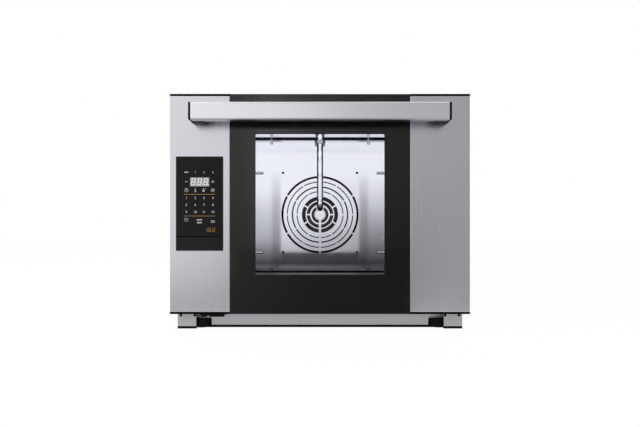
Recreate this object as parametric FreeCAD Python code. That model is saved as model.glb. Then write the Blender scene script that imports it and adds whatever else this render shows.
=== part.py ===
import FreeCAD, Part
import math
import os

V = FreeCAD.Vector
os.makedirs("parts", exist_ok=True)

# Overall outline, in mm. X is across, the door faces -Y, Z is up from the table.
WIDTH = 600.0
HEIGHT = 475.0
BODY_DEPTH = 600.0
HANDLE_REACH = 70.0
FITTING_REACH = 20.0
SHEET = 1.5
SKIN = 1.0
GAP = 0.3

# Door: a full-width slab hinged along its lower edge.
DOOR_LIFT = 35.0
DOOR_DEPTH = 50.0
RAIL_HEIGHT = 4.0
RAIL_DEPTH = 24.0
COVER_WIDTH = 119.5
GLASS_TUCK = 5.0
GLASS_THICK = 5.0
COVER_RETURN = 4.0
COVER_EDGE = 1.2
BORDER_SIDE = 51.2
BORDER_TOP = 75.8
BORDER_BOTTOM = 73.5
PAN_LIFT = 15.5
PAN_FLANGE = 24.0
INNER_MARGIN = 25.0
INNER_BEARING = 10.0
INNER_THICK = 4.0
CLIP_WIDTH = 11.0
CLIP_LENGTH = 24.0
CLIP_SPREAD = 110.0
LAMP_WIDTH = 14.0
LAMP_THICK = 6.0
LAMP_END = 16.35
LAMP_OFFSET = 6.0
LAMP_ROUND = 1.5

# Handle.
HANDLE_SIDE = 50.5
HANDLE_HEIGHT = 33.6
HANDLE_DROP = 27.4
HANDLE_THICK = 30.0
HANDLE_WALL = 2.5
HANDLE_EDGE = 3.0
CAP_THICK = 4.2
BRACKET_FRONT = 26.8
BRACKET_BACK = 10.0
BRACKET_DROP = 1.6

# Control panel in the left cover.
PANEL_OUTER = 12.3
PANEL_INNER = 12.9
PANEL_HEIGHT = 188.2
PANEL_RISE = 122.6
PANEL_CORNER = 3.0
PANEL_PROUD = 0.8
LOWER_COVER = 27.6
PANEL_SPLIT = 1.5
HOUSING_FLANGE = 6.0
HOUSING_SHEET = 2.0
HOUSING_DEPTH = 24.0
BOARD_THICK = 1.6
BOARD_SET = 12.0
BOARD_MARGIN = 6.0
BOSS_RADIUS = 3.0
DISPLAY_WIDTH = 46.0
DISPLAY_HEIGHT = 24.0
DISPLAY_DROP = 50.7

# Hinges.
HINGE_SIDE = 30.0
HINGE_SET = 12.0
HINGE_RISE = 11.0
LUG_THICK = 8.0
LUG_EYE = 7.0
LUG_TOP = 3.0
PIN_RADIUS = 4.0
PIN_FIT = 0.02
PIN_RUN = 0.08
CASE_INSIDE = 24.0
CASE_WALL = 3.0
CASE_HEIGHT = 110.0
CASE_FRONT = 4.5
CASE_NOSE = 21.0
CASE_CLEAR = 1.5
NOTCH_SIDE = 3.0

# Oven cavity.
SEAL_GAP = 8.0
FRAME_SHEET = 2.0
CAVITY_SIDE = 58.0
FLOOR_RISE = 46.0
CEILING_DROP = 39.7
REAR_ROOM = 63.0
FAN_ROOM = 69.0
CAVITY_CORNER = 18.0
LINER = 1.0
INSULATION = 25.0
BACK_INSULATION = 30.0
SEAL_INSET = 3.0
SEAL_WIDTH = 12.0
SEAL_ROUND = 3.0
WOOL_CLEAR = 1.0

# Fan deflector: flat sheet with rings of slots, its upper and lower edges bent back.
DEFLECTOR_SHEET = 1.2
DEFLECTOR_SIDE = 22.0
DEFLECTOR_GAP = 2.9
EDGE_LIP = 6.4
EDGE_SETBACK = 1.2
FAN_BELOW_MIDDLE = 25.15
BRIDGE = 3.8
SPOKE = 6.0
SLOT_RINGS = [
    (97.3, 103.0, [30, 90, 150, 210, 270, 330]),
    (85.8, 88.6, [0, 60, 120, 180, 240, 300]),
    (71.7, 75.5, [30, 90, 150, 210, 270, 330]),
    (60.0, 62.7, [0, 60, 120, 180, 240, 300]),
    (38.3, 48.3, [30, 90, 150, 210, 270, 330]),
    (26.6, 35.5, [0, 90, 180, 270]),
    (13.9, 22.7, [90, 270]),
]
SCREW_SPREAD = 98.4
SCREW_ABOVE = 111.3
SCREW_BELOW = 100.0
SCREW_HEAD = 3.2
SCREW_HEAD_THICK = 2.0
SCREW_SHANK = 1.9
SCREW_LENGTH = 14.0
SPACER_RADIUS = 4.0
HOOK_X = 129.0
HOOK_HEAD = 4.25
HOOK_THICK = 3.0
HOOK_STEM = 4.0
HOOK_TOP_DROP = 11.3
HOOK_FLOOR_RISE = 8.0

# Tray racks.
POST = 4.0
ROD = 3.5
RAIL_ROD = 3.0
RACK_BEND = 12.0
RAIL_BEND = 8.0
TIP_ROUND = 3.1
RACK_FRONT = 30.0
RACK_BACK = 56.0
RACK_BOTTOM = 17.0
RACK_DROP = 18.3
TRAY_LEVELS = 4
TRAY_FIRST = 39.0
TRAY_PITCH = 78.0
TRAY_RAIL_SET = 16.0
ARM_CLEAR = 52.6
ARM_UPPER = 262.8
ARM_LOWER = 51.7
STUD_LENGTH = 10.0
STUD_RADIUS = 3.5

# Water pipe over the fan.
PIPE_RADIUS = 8.1
PIPE_BORE = 6.6
PIPE_SET = 31.0
PIPE_BEND = 12.0
PIPE_ABOVE_FAN = 17.0
PIPE_COLLAR = 9.6
PIPE_COLLAR_LENGTH = 4.5
PIPE_STUB = 20.0
FLANGE_RADIUS = 11.6
FLANGE_THICK = 2.2
SPIGOT_RADIUS = 9.6
SPIGOT_LENGTH = 4.7
NUT_CORNER = 14.0
NUT_HEIGHT = 10.6
NUT_CHAMFER = 2.0
FEED_RADIUS = 4.0
FEED_BEND = 12.0
FEED_RISE = 14.0

# Fan, heater and motor.
WHEEL_RADIUS = 92.0
WHEEL_EYE = 58.0
WHEEL_WIDTH = 42.0
WHEEL_CLEAR = 14.0
WHEEL_SHEET = 1.5
BLADES = 10
BLADE_SWEEP = 9.4
BLADE_BOW = 3.3
HUB_RADIUS = 17.0
HUB_LENGTH = 26.0
SHAFT_RADIUS = 6.0
SHAFT_RUN = 0.06
SHAFT_FIT = 0.02
SHAFT_CLEAR = 1.0
SHAFT_PASS = 17.0
FAN_NUT_RADIUS = 10.0
FAN_NUT_LENGTH = 9.0
HEATER_RADIUS = 107.0
HEATER_ROD = 3.6
HEATER_HALF_TURNS = 5
HEATER_PITCH = 11.0
HEATER_SET = 28.0
HEATER_TAIL = 60.0
HEATER_BEND = 12.0
MOTOR_RADIUS = 55.0
MOTOR_LENGTH = 42.0
MOTOR_PLATE = 150.0
MOTOR_PLATE_SHEET = 2.0
STANDOFF_SPREAD = 60.0
STANDOFF_RADIUS = 5.0
MOTOR_RIBS = 16
MOTOR_RIB = 3.0
IMPELLER_RADIUS = 45.0
IMPELLER_HUB = 17.0
IMPELLER_SHEET = 1.5
IMPELLER_LENGTH = 10.0
IMPELLER_VANES = 8
IMPELLER_CLEAR = 2.0

# Base, feet and cable guide.
FOOT_RADIUS = 20.0
FOOT_HEIGHT = 17.6
FOOT_SIDE = 52.4
FOOT_GAP = 1.0
FOOT_REAR = 60.0
FOOT_CHAMFER = 2.0
BASE_INSET = 3.0
SKIRT_BOTTOM = 3.4
SKIRT_NOTCH = 1.5
SHOE_WIDTH = 38.0
SHOE_SIDE = 8.0
SHOE_FRONT = 35.0
SHOE_DROP = 0.5
SHOE_FOOT = 9.0
SHOE_SHEET = 2.0
PAD_HEIGHT = 5.0
GUIDE_SIDE = 51.8
GUIDE_WIDTH = 48.8
GUIDE_FRONT = 46.0
GUIDE_HEIGHT = 12.4
GUIDE_WALL = 4.0
GUIDE_FLOOR = 2.0
GUIDE_ROUND = 1.6
GUIDE_BEVEL = 4.0
GUIDE_NOTCH = 7.2
GUIDE_NOTCH_SIDE = 12.4
GUIDE_NOTCH_HEIGHT = 2.7

# Side, top and rear panels.
FLANGE = 20.0
LID_LIP = 10.0
VENT_LENGTH = 70.0
VENT_HEIGHT = 5.0
VENT_PITCH = 14.0
SIDE_VENTS = 8
REAR_VENTS = 11
VENT_LOW = 95.0
SIDE_VENT_BACK = 55.0
REAR_VENT_X = 80.0
BASE_VENTS = 9
BASE_VENT_PITCH = 40.0

# Rear connections and the parts in the rear compartment.
EXHAUST_X = 150.0
EXHAUST_DROP = 35.3
EXHAUST_RADIUS = 19.0
EXHAUST_BORE = 17.0
VALVE_SIDE = 100.0
VALVE_Z = 90.0
VALVE_BODY = 40.0
VALVE_LENGTH = 34.0
COIL_RADIUS = 15.0
COIL_HEIGHT = 36.0
INLET_RADIUS = 13.2
INLET_BORE = 8.0
INLET_COLLAR = 17.0
INLET_COLLAR_THICK = 3.0
INLET_SHANK = 12.0
GLAND_SIDE = 60.0
GLAND_Z = 80.0
GLAND_BORE = 6.5
GLAND_BODY = 13.0
GLAND_HEX = 16.0
GLAND_HEX_THICK = 6.0
GLAND_SHANK = 10.0
GLAND_NUT_THICK = 5.0
TERMINAL_SIDE = 57.0
TERMINAL_WIDTH = 56.0
TERMINAL_DEPTH = 26.0
TERMINAL_HEIGHT = 26.0
TERMINAL_WAYS = 5
TERMINAL_HOLE = 3.0
TERMINAL_BACK = 26.0
POWER_DEPTH = 54.0
POWER_HEIGHT = 180.0
POWER_BOTTOM = 150.0
POWER_STANDOFF = 12.0
POWER_INSET = 8.0
POWER_BOSS = 3.0
RELAY = 18.0
RELAYS = 4
PROBE_X = -150.0
PROBE_DROP = 45.3
PROBE_RADIUS = 3.0
PROBE_REACH = 40.0
PROBE_HEX = 7.0
PROBE_TAIL = 8.0

# Planes that follow from the sizes above.
DEPTH = HANDLE_REACH + BODY_DEPTH + FITTING_REACH
FACE = HANDLE_REACH - DEPTH / 2
REAR = FACE + BODY_DEPTH
HALF = WIDTH / 2
DOOR_BACK = FACE + DOOR_DEPTH
FRAME_FRONT = DOOR_BACK + SEAL_GAP
MOUTH = FRAME_FRONT + FRAME_SHEET
TOP_UNDER = HEIGHT - SKIN
REAR_INSIDE = REAR - SKIN
WOOL_BACK = REAR_INSIDE - REAR_ROOM
LINER_BACK = WOOL_BACK - BACK_INSULATION
CAVITY_BACK = LINER_BACK - LINER
SHEET_FRONT = CAVITY_BACK - FAN_ROOM
CAVITY_FLOOR = DOOR_LIFT + FLOOR_RISE
CEILING = HEIGHT - CEILING_DROP
CAVITY_HALF = HALF - CAVITY_SIDE
FAN_Z = (CAVITY_FLOOR + CEILING) / 2 - FAN_BELOW_MIDDLE
COVER_LOW = DOOR_LIFT + RAIL_HEIGHT
COVER_HIGH = HEIGHT - RAIL_HEIGHT
GLASS_VIEW = WIDTH - 2 * COVER_WIDTH
WINDOW_WIDTH = GLASS_VIEW - 2 * BORDER_SIDE
WINDOW_BOTTOM = COVER_LOW + BORDER_BOTTOM
WINDOW_HEIGHT = COVER_HIGH - BORDER_TOP - WINDOW_BOTTOM
LAMP_LENGTH = WINDOW_HEIGHT - 2 * LAMP_END
HANDLE_LENGTH = WIDTH - 2 * HANDLE_SIDE
HANDLE_BOTTOM = HEIGHT - HANDLE_DROP - HANDLE_HEIGHT
PANEL_LEFT = PANEL_OUTER - HALF
PANEL_WIDTH = COVER_WIDTH - PANEL_OUTER - PANEL_INNER
PANEL_BOTTOM = COVER_LOW + PANEL_RISE
HINGE_X = HALF - HINGE_SIDE
RACK_LENGTH = SHEET_FRONT - MOUTH - RACK_FRONT - RACK_BACK
FOOT_X = HALF - FOOT_SIDE
FOOT_FRONT = SHOE_FRONT + SHOE_FOOT + FOOT_GAP + FOOT_RADIUS
SHOE_TOP = DOOR_LIFT - SHOE_DROP
EXHAUST_Z = CEILING - EXHAUST_DROP
PROBE_Z = CEILING - PROBE_DROP
VALVE_X = HALF - VALVE_SIDE
GLAND_X = GLAND_SIDE - HALF
TERMINAL_X = TERMINAL_SIDE - HALF
PIPE_LEG = FAN_Z + PIPE_ABOVE_FAN
GLASS_BACK = FACE + SHEET + GLASS_THICK
PAN_INSIDE = DOOR_BACK - SHEET
PAN_LOW = DOOR_LIFT + PAN_LIFT
PIN_Y = FACE + HINGE_SET
PIN_Z = DOOR_LIFT + HINGE_RISE
WINDOW_MID = WINDOW_BOTTOM + WINDOW_HEIGHT / 2
PLATE_BACK = WOOL_BACK + MOTOR_PLATE_SHEET
MOTOR_BACK = PLATE_BACK + MOTOR_LENGTH
WHEEL_FRONT = SHEET_FRONT + WHEEL_CLEAR
WHEEL_BACK = WHEEL_FRONT + WHEEL_WIDTH
IMPELLER_FRONT = MOTOR_BACK + IMPELLER_CLEAR
IMPELLER_BACK = IMPELLER_FRONT + IMPELLER_LENGTH
SKIRT_FRONT = MOUTH
PAN_FLOOR = FOOT_HEIGHT + SHEET


def block(x, y, z):
    return Part.makeBox(x[1] - x[0], y[1] - y[0], z[1] - z[0], V(x[0], y[0], z[0]))


def rod(start, direction, radius, length):
    return Part.makeCylinder(radius, length, V(*start), V(*direction))


def edges_along(shape, axis):
    found = []
    for edge in shape.Edges:
        if edge.Curve.TypeId == "Part::GeomLine" and abs(edge.Curve.Direction.dot(axis)) > 0.999:
            found.append(edge)
    return found


def edges_at_y(shape, y):
    return [e for e in shape.Edges if e.BoundBox.YMin > y - 0.01 and e.BoundBox.YMax < y + 0.01]


def rounded(x, y, z, radius):
    solid = block(x, y, z)
    return solid.makeFillet(radius, edges_along(solid, V(0, 1, 0)))


def fuse(shapes):
    return shapes[0].multiFuse(shapes[1:]).removeSplitter()


def cut(shape, tools):
    return shape.cut(Part.makeCompound(tools))


def mirror_x(shape):
    return shape.mirror(V(0, 0, 0), V(1, 0, 0))


def both(shape):
    return Part.makeCompound([shape, mirror_x(shape)])


def prism_x(points, x):
    wire = Part.makePolygon([V(x[0], y, z) for y, z in points + points[:1]])
    return Part.Face(wire).extrude(V(x[1] - x[0], 0, 0))


def prism_z(points, z):
    wire = Part.makePolygon([V(x, y, z[0]) for x, y in points + points[:1]])
    return Part.Face(wire).extrude(V(0, 0, z[1] - z[0]))


def hexagon(centre, axis, corner, length):
    side = V(1, 0, 0)
    across = axis.cross(side)
    ring = []
    for k in range(7):
        turn = math.radians(60 * k)
        ring.append(centre + side * (corner * math.cos(turn)) + across * (corner * math.sin(turn)))
    return Part.Face(Part.makePolygon(ring)).extrude(axis * length)


def slot_y(x, z, length, height, y):
    half = (length - height) / 2
    body = block((x - half, x + half), y, (z - height / 2, z + height / 2))
    ends = [rod((x + s * half, y[0], z), (0, 1, 0), height / 2, y[1] - y[0]) for s in (-1, 1)]
    return fuse([body] + ends)


def bent_line(points, bend):
    edges = []
    last = points[0]
    for k in range(1, len(points) - 1):
        corner = points[k]
        back = (points[k - 1] - corner).normalize()
        ahead = (points[k + 1] - corner).normalize()
        start = corner + back * bend
        end = corner + ahead * bend
        centre = corner + back * bend + ahead * bend
        middle = centre + (corner - centre).normalize() * bend
        edges.append(Part.LineSegment(last, start).toShape())
        edges.append(Part.Arc(start, middle, end).toShape())
        last = end
    edges.append(Part.LineSegment(last, points[-1]).toShape())
    return edges


def sweep_ring(edges, radius):
    start = edges[0].valueAt(edges[0].FirstParameter)
    ring = Part.Circle(start, edges[0].tangentAt(edges[0].FirstParameter), radius).toShape()
    return Part.Wire(edges).makePipeShell([Part.Wire([ring])], True, False)


def bent_pipe(points, radius, bend):
    return sweep_ring(bent_line(points, bend), radius)


# Door inner pan: folded sheet facing the cavity, open to the front, with the inner window.
pan_half = HALF - SHEET
inner_half = WINDOW_WIDTH / 2 + INNER_MARGIN
inner_low = WINDOW_BOTTOM - INNER_MARGIN
inner_high = WINDOW_BOTTOM + WINDOW_HEIGHT + INNER_MARGIN
pan = block((-pan_half, pan_half), (DOOR_BACK - PAN_FLANGE, DOOR_BACK), (PAN_LOW, COVER_HIGH))
pan_hollow = block(
    (-pan_half + SHEET, pan_half - SHEET),
    (DOOR_BACK - PAN_FLANGE, PAN_INSIDE),
    (PAN_LOW + SHEET, COVER_HIGH - SHEET),
)
pan_window = rounded(
    (-inner_half, inner_half), (PAN_INSIDE, DOOR_BACK), (inner_low, inner_high), PANEL_CORNER
)
inner_panel = cut(pan, [pan_hollow, pan_window])

# Black surround that carries the outer glass, with side walls back to the inner pan.
surround_half = GLASS_VIEW / 2 + GLASS_TUCK
surround_back = GLASS_BACK + SHEET
surround_plate = block((-surround_half, surround_half), (GLASS_BACK, surround_back), (DOOR_LIFT, HEIGHT))
surround_hole = rounded(
    (-WINDOW_WIDTH / 2, WINDOW_WIDTH / 2),
    (GLASS_BACK, surround_back),
    (WINDOW_BOTTOM, WINDOW_BOTTOM + WINDOW_HEIGHT),
    PANEL_CORNER,
)
surround_wall = block(
    (surround_half - SHEET, surround_half),
    (surround_back, PAN_INSIDE),
    (PAN_LOW + SHEET, COVER_HIGH - SHEET),
)
window_surround = fuse([surround_plate.cut(surround_hole), surround_wall, mirror_x(surround_wall)])

# Outer and inner panes.
outer_glass = block((-surround_half, surround_half), (FACE + SHEET, GLASS_BACK), (DOOR_LIFT, HEIGHT))
pane_half = inner_half + INNER_BEARING
pane_low = inner_low - INNER_BEARING
pane_high = inner_high + INNER_BEARING
pane_front = PAN_INSIDE - INNER_THICK
inner_glass = rounded(
    (-pane_half, pane_half), (pane_front, PAN_INSIDE), (pane_low, pane_high), PANEL_CORNER
)

# Clips that press the inner pane on the pan.
clips = []
for side in (-1, 1):
    low = WINDOW_MID + side * CLIP_SPREAD - CLIP_LENGTH / 2
    span = (low, low + CLIP_LENGTH)
    leg = block((pane_half + GAP, pane_half + GAP + SHEET), (pane_front - SHEET, PAN_INSIDE), span)
    lip_x = (pane_half + GAP + SHEET - CLIP_WIDTH, pane_half + GAP)
    lip = block(lip_x, (pane_front - SHEET, pane_front), span)
    foot = block(
        (pane_half + GAP + SHEET, pane_half + GAP + CLIP_WIDTH), (PAN_INSIDE - SHEET, PAN_INSIDE), span
    )
    clip = fuse([leg, lip, foot])
    clips.append(clip)
    clips.append(mirror_x(clip))
glass_clips = Part.makeCompound(clips)

# Light bars behind the black border, shining into the cavity.
lamp_inner = WINDOW_WIDTH / 2 + LAMP_OFFSET
lamp = block(
    (lamp_inner, lamp_inner + LAMP_WIDTH),
    (surround_back, surround_back + LAMP_THICK),
    (WINDOW_MID - LAMP_LENGTH / 2, WINDOW_MID + LAMP_LENGTH / 2),
)
lamp = lamp.makeFillet(LAMP_ROUND, edges_at_y(lamp, surround_back + LAMP_THICK))
door_lamps = both(lamp)


# Folded steel covers at each side of the glass.
def door_cover():
    cover_inner = GLASS_VIEW / 2
    shell = block((cover_inner, HALF), (FACE, PAN_INSIDE), (COVER_LOW, COVER_HIGH))
    shell = shell.makeFillet(COVER_EDGE, edges_at_y(shell, FACE))
    inside = block(
        (cover_inner - SHEET, HALF - SHEET),
        (FACE + SHEET, PAN_INSIDE),
        (COVER_LOW + SHEET, COVER_HIGH - SHEET),
    )
    ends = block(
        (cover_inner - SHEET, HALF - SHEET), (FACE + COVER_RETURN, PAN_INSIDE), (COVER_LOW, COVER_HIGH)
    )
    glazing = block((cover_inner, surround_half), (FACE + SHEET, PAN_INSIDE), (COVER_LOW, COVER_HIGH))
    return cut(shell, [inside, ends, glazing])


right_door_cover = door_cover()
panel_x = (PANEL_LEFT, PANEL_LEFT + PANEL_WIDTH)
panel_z = (PANEL_BOTTOM, PANEL_BOTTOM + PANEL_HEIGHT)
cut_out = rounded(
    (panel_x[0] - GAP, panel_x[1] + GAP),
    (FACE - SHEET, FACE + COVER_RETURN),
    (panel_z[0] - GAP, panel_z[1] + GAP),
    PANEL_CORNER + GAP,
)
left_door_cover = mirror_x(right_door_cover).cut(cut_out)

# Black rails along the top and bottom edges of the door, with the glass let into them.
glass_room = [
    block((-GLASS_VIEW / 2, GLASS_VIEW / 2), (FACE, FACE + SHEET), (DOOR_LIFT, HEIGHT)),
    block((-surround_half, surround_half), (FACE + SHEET, surround_back), (DOOR_LIFT, HEIGHT)),
]
rail_bar = block((-HALF, HALF), (FACE, DOOR_BACK), (COVER_HIGH, HEIGHT))
top_rail = cut(rail_bar, glass_room)
rail_bar = block((-HALF, HALF), (FACE, FACE + RAIL_DEPTH), (DOOR_LIFT, COVER_LOW))
rail_notch = block(
    (HINGE_X - LUG_THICK / 2 - NOTCH_SIDE, HINGE_X + LUG_THICK / 2 + NOTCH_SIDE),
    (FACE + CASE_FRONT - CASE_CLEAR, FACE + RAIL_DEPTH),
    (DOOR_LIFT, COVER_LOW),
)
bottom_rail = cut(rail_bar, glass_room + [rail_notch, mirror_x(rail_notch)])

# Handle: hollow bar on two tapered brackets, with end caps.
bar_half = HANDLE_LENGTH / 2 - CAP_THICK
handle_y = (FACE - HANDLE_REACH, FACE - HANDLE_REACH + HANDLE_THICK)
handle_z = (HANDLE_BOTTOM, HANDLE_BOTTOM + HANDLE_HEIGHT)
bar = block((-bar_half, bar_half), handle_y, handle_z)
bar = bar.makeFillet(HANDLE_EDGE, edges_along(bar, V(1, 0, 0)))
bar_bore = block(
    (-bar_half, bar_half),
    (handle_y[0] + HANDLE_WALL, handle_y[1] - HANDLE_WALL),
    (handle_z[0] + HANDLE_WALL, handle_z[1] - HANDLE_WALL),
)
handle_bar = bar.cut(bar_bore)
cap = block((bar_half, HANDLE_LENGTH / 2), handle_y, handle_z)
cap = cap.makeFillet(HANDLE_EDGE, edges_along(cap, V(1, 0, 0)))
handle_end_caps = both(cap)
end = HANDLE_LENGTH / 2
bracket = prism_z(
    [
        (end - BRACKET_FRONT, handle_y[1]),
        (end, handle_y[1]),
        (end, FACE),
        (end - BRACKET_BACK, FACE),
    ],
    (handle_z[0] - BRACKET_DROP, handle_z[1] - HANDLE_EDGE),
)
handle_brackets = both(bracket)

# Control panel: housing behind the left cover, glass, lower cover, display and board.
house_y = FACE + SHEET
flange = rounded(
    (panel_x[0] - HOUSING_FLANGE, panel_x[1] + HOUSING_FLANGE),
    (house_y, house_y + HOUSING_SHEET),
    (panel_z[0] - HOUSING_FLANGE, panel_z[1] + HOUSING_FLANGE),
    PANEL_CORNER,
)
house_back = house_y + HOUSING_DEPTH
box_x = (panel_x[0] + HOUSING_SHEET, panel_x[1] - HOUSING_SHEET)
box_z = (panel_z[0] + HOUSING_SHEET, panel_z[1] - HOUSING_SHEET)
house_box = block(box_x, (house_y, house_back), box_z)
house_hollow = block(
    (box_x[0] + HOUSING_SHEET, box_x[1] - HOUSING_SHEET),
    (house_y, house_back - HOUSING_SHEET),
    (box_z[0] + HOUSING_SHEET, box_z[1] - HOUSING_SHEET),
)
board_x = (box_x[0] + BOARD_MARGIN, box_x[1] - BOARD_MARGIN)
board_z = (panel_z[0] + LOWER_COVER + BOARD_MARGIN, box_z[1] - BOARD_MARGIN)
board_back = house_y + BOARD_SET + BOARD_THICK
bosses = []
for x in (board_x[0] + BOSS_RADIUS, board_x[1] - BOSS_RADIUS):
    for z in (board_z[0] + BOSS_RADIUS, board_z[1] - BOSS_RADIUS):
        boss_length = house_back - HOUSING_SHEET - board_back
        bosses.append(rod((x, board_back, z), (0, 1, 0), BOSS_RADIUS, boss_length))
control_housing = fuse([fuse([flange, house_box]).cut(house_hollow)] + bosses)
control_board = block(board_x, (board_back - BOARD_THICK, board_back), board_z)
split = panel_z[0] + LOWER_COVER
panel_y = (FACE - PANEL_PROUD, house_y)


panel_whole = rounded(panel_x, panel_y, panel_z, PANEL_CORNER)
above_split = block(panel_x, panel_y, (split + PANEL_SPLIT, panel_z[1]))
below_split = block(panel_x, panel_y, (panel_z[0], split))
control_glass = panel_whole.common(above_split)
control_lower_cover = panel_whole.common(below_split)
display_x = (panel_x[0] + panel_x[1]) / 2
display_z = panel_z[1] - DISPLAY_DROP
display_module = block(
    (display_x - DISPLAY_WIDTH / 2, display_x + DISPLAY_WIDTH / 2),
    (house_y + GAP, board_back - BOARD_THICK),
    (display_z - DISPLAY_HEIGHT / 2, display_z + DISPLAY_HEIGHT / 2),
)

# Hinges: lugs standing on the corner shoes, pins, and spring cases inside the door.
lug_x = (HINGE_X - LUG_THICK / 2, HINGE_X + LUG_THICK / 2)
lug_plate = prism_x(
    [
        (PIN_Y, PIN_Z - LUG_EYE),
        (PIN_Y, PIN_Z + LUG_TOP),
        (FRAME_FRONT, PIN_Z + LUG_TOP),
        (FRAME_FRONT, SHOE_TOP),
        (FACE + SHOE_FRONT, SHOE_TOP),
    ],
    lug_x,
)
lug_eye = rod((lug_x[0], PIN_Y, PIN_Z), (1, 0, 0), LUG_EYE, LUG_THICK)
lug_bore = rod((lug_x[0], PIN_Y, PIN_Z), (1, 0, 0), PIN_RADIUS + PIN_FIT, LUG_THICK)
lug = fuse([lug_plate, lug_eye]).cut(lug_bore)
hinge_lugs = both(lug)
case_half = CASE_INSIDE / 2 + CASE_WALL
pin = rod((HINGE_X - case_half, PIN_Y, PIN_Z), (1, 0, 0), PIN_RADIUS, 2 * case_half)
hinge_pins = both(pin)
case_front = FACE + CASE_FRONT
case_low = COVER_LOW + SHEET
case_web_low = PIN_Z + LUG_EYE + CASE_CLEAR
case_high = case_low + CASE_HEIGHT
nose_back = case_front + CASE_NOSE
cheek_points = [
    (case_front, case_low),
    (nose_back, case_low),
    (nose_back, PAN_LOW + SHEET + GAP),
    (PAN_INSIDE, PAN_LOW + SHEET + GAP),
    (PAN_INSIDE, case_high),
    (case_front, case_high),
]
case_solid = prism_x(cheek_points, (HINGE_X - case_half, HINGE_X + case_half))
case_hollow_x = (HINGE_X - CASE_INSIDE / 2, HINGE_X + CASE_INSIDE / 2)
case_hollow = block(case_hollow_x, (case_front + CASE_WALL, PAN_INSIDE), (case_low, case_high - CASE_WALL))
case_mouth = block(case_hollow_x, (case_front, PAN_INSIDE), (case_low, case_web_low))
case_bore = rod((HINGE_X - case_half, PIN_Y, PIN_Z), (1, 0, 0), PIN_RADIUS + PIN_RUN, 2 * case_half)
hinge_case = cut(case_solid, [case_hollow, case_mouth, case_bore])
hinge_cases = both(hinge_case)

# Base: pan, front skirt, feet and the steel corner shoes.
base_half = HALF - BASE_INSET
pan_y = (SKIRT_FRONT + SHEET, REAR_INSIDE)
base_box = block((-base_half, base_half), pan_y, (FOOT_HEIGHT, DOOR_LIFT))
base_hollow = block(
    (-base_half + SHEET, base_half - SHEET), (pan_y[0] + SHEET, pan_y[1] - SHEET), (PAN_FLOOR, DOOR_LIFT)
)
base_slots = []
for k in range(BASE_VENTS):
    x = (k - (BASE_VENTS - 1) / 2) * BASE_VENT_PITCH
    y = (pan_y[0] + pan_y[1]) / 2
    base_slots.append(
        block(
            (x - VENT_HEIGHT / 2, x + VENT_HEIGHT / 2),
            (y - VENT_LENGTH, y + VENT_LENGTH),
            (FOOT_HEIGHT, PAN_FLOOR),
        )
    )
base_pan = cut(base_box, [base_hollow] + base_slots)
skirt_sheet = block((-base_half, base_half), (SKIRT_FRONT, SKIRT_FRONT + SHEET), (SKIRT_BOTTOM, DOOR_LIFT))
foot_clear = FOOT_RADIUS + SKIRT_NOTCH
skirt_notch = block(
    (FOOT_X - foot_clear, FOOT_X + foot_clear),
    (SKIRT_FRONT, SKIRT_FRONT + SHEET),
    (SKIRT_BOTTOM, FOOT_HEIGHT + SKIRT_NOTCH),
)
base_skirt = cut(skirt_sheet, [skirt_notch, mirror_x(skirt_notch)])
feet = []
for y in (FACE + FOOT_FRONT, REAR - FOOT_REAR):
    foot = rod((FOOT_X, y, 0), (0, 0, 1), FOOT_RADIUS, FOOT_HEIGHT)
    ring = [e for e in foot.Edges if e.BoundBox.ZMax < FOOT_CHAMFER]
    foot = foot.makeChamfer(FOOT_CHAMFER, ring)
    feet += [foot, mirror_x(foot)]
rubber_feet = Part.makeCompound(feet)
shoe_y = FACE + SHOE_FRONT
shoe_x = (HALF - SHOE_SIDE - SHOE_WIDTH, HALF - SHOE_SIDE)
shoe_face = block(shoe_x, (shoe_y, shoe_y + SHOE_SHEET), (PAD_HEIGHT, SHOE_TOP))
shoe_lid = block(shoe_x, (shoe_y, SKIRT_FRONT), (SHOE_TOP - SHOE_SHEET, SHOE_TOP))
shoe_side = block((shoe_x[1] - SHOE_SHEET, shoe_x[1]), (shoe_y, SKIRT_FRONT), (PAD_HEIGHT, SHOE_TOP))
shoe_sole = block(shoe_x, (shoe_y, shoe_y + SHOE_FOOT), (PAD_HEIGHT, PAD_HEIGHT + SHOE_SHEET))
shoe = fuse([shoe_face, shoe_lid, shoe_side, shoe_sole])
corner_shoes = both(shoe)
pad = block(shoe_x, (shoe_y, shoe_y + SHOE_FOOT), (0, PAD_HEIGHT))
shoe_pads = both(pad)
guide_x = (GUIDE_SIDE - HALF, GUIDE_SIDE + GUIDE_WIDTH - HALF)
guide_low = SHOE_TOP - GUIDE_HEIGHT
guide = block(guide_x, (FACE + GUIDE_FRONT, SKIRT_FRONT), (guide_low, SHOE_TOP))
low_edges = [e for e in edges_along(guide, V(0, 1, 0)) if e.CenterOfMass.z < guide_low + GAP]
corner = [e for e in low_edges if e.CenterOfMass.x < guide_x[0] + GAP]
guide = guide.makeChamfer(GUIDE_BEVEL, corner)
guide = guide.makeFillet(GUIDE_ROUND, edges_at_y(guide, FACE + GUIDE_FRONT))
guide_hole = block(
    (guide_x[0] + GUIDE_WALL, guide_x[1] - GUIDE_WALL),
    (FACE + GUIDE_FRONT + GUIDE_WALL, SKIRT_FRONT),
    (guide_low + GUIDE_FLOOR, SHOE_TOP),
)
notch_x = guide_x[0] + GUIDE_NOTCH_SIDE
guide_notch = block(
    (notch_x, notch_x + GUIDE_NOTCH),
    (FACE + GUIDE_FRONT, SKIRT_FRONT),
    (guide_low, guide_low + GUIDE_NOTCH_HEIGHT),
)
cable_guide = cut(guide, [guide_hole, guide_notch])

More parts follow.
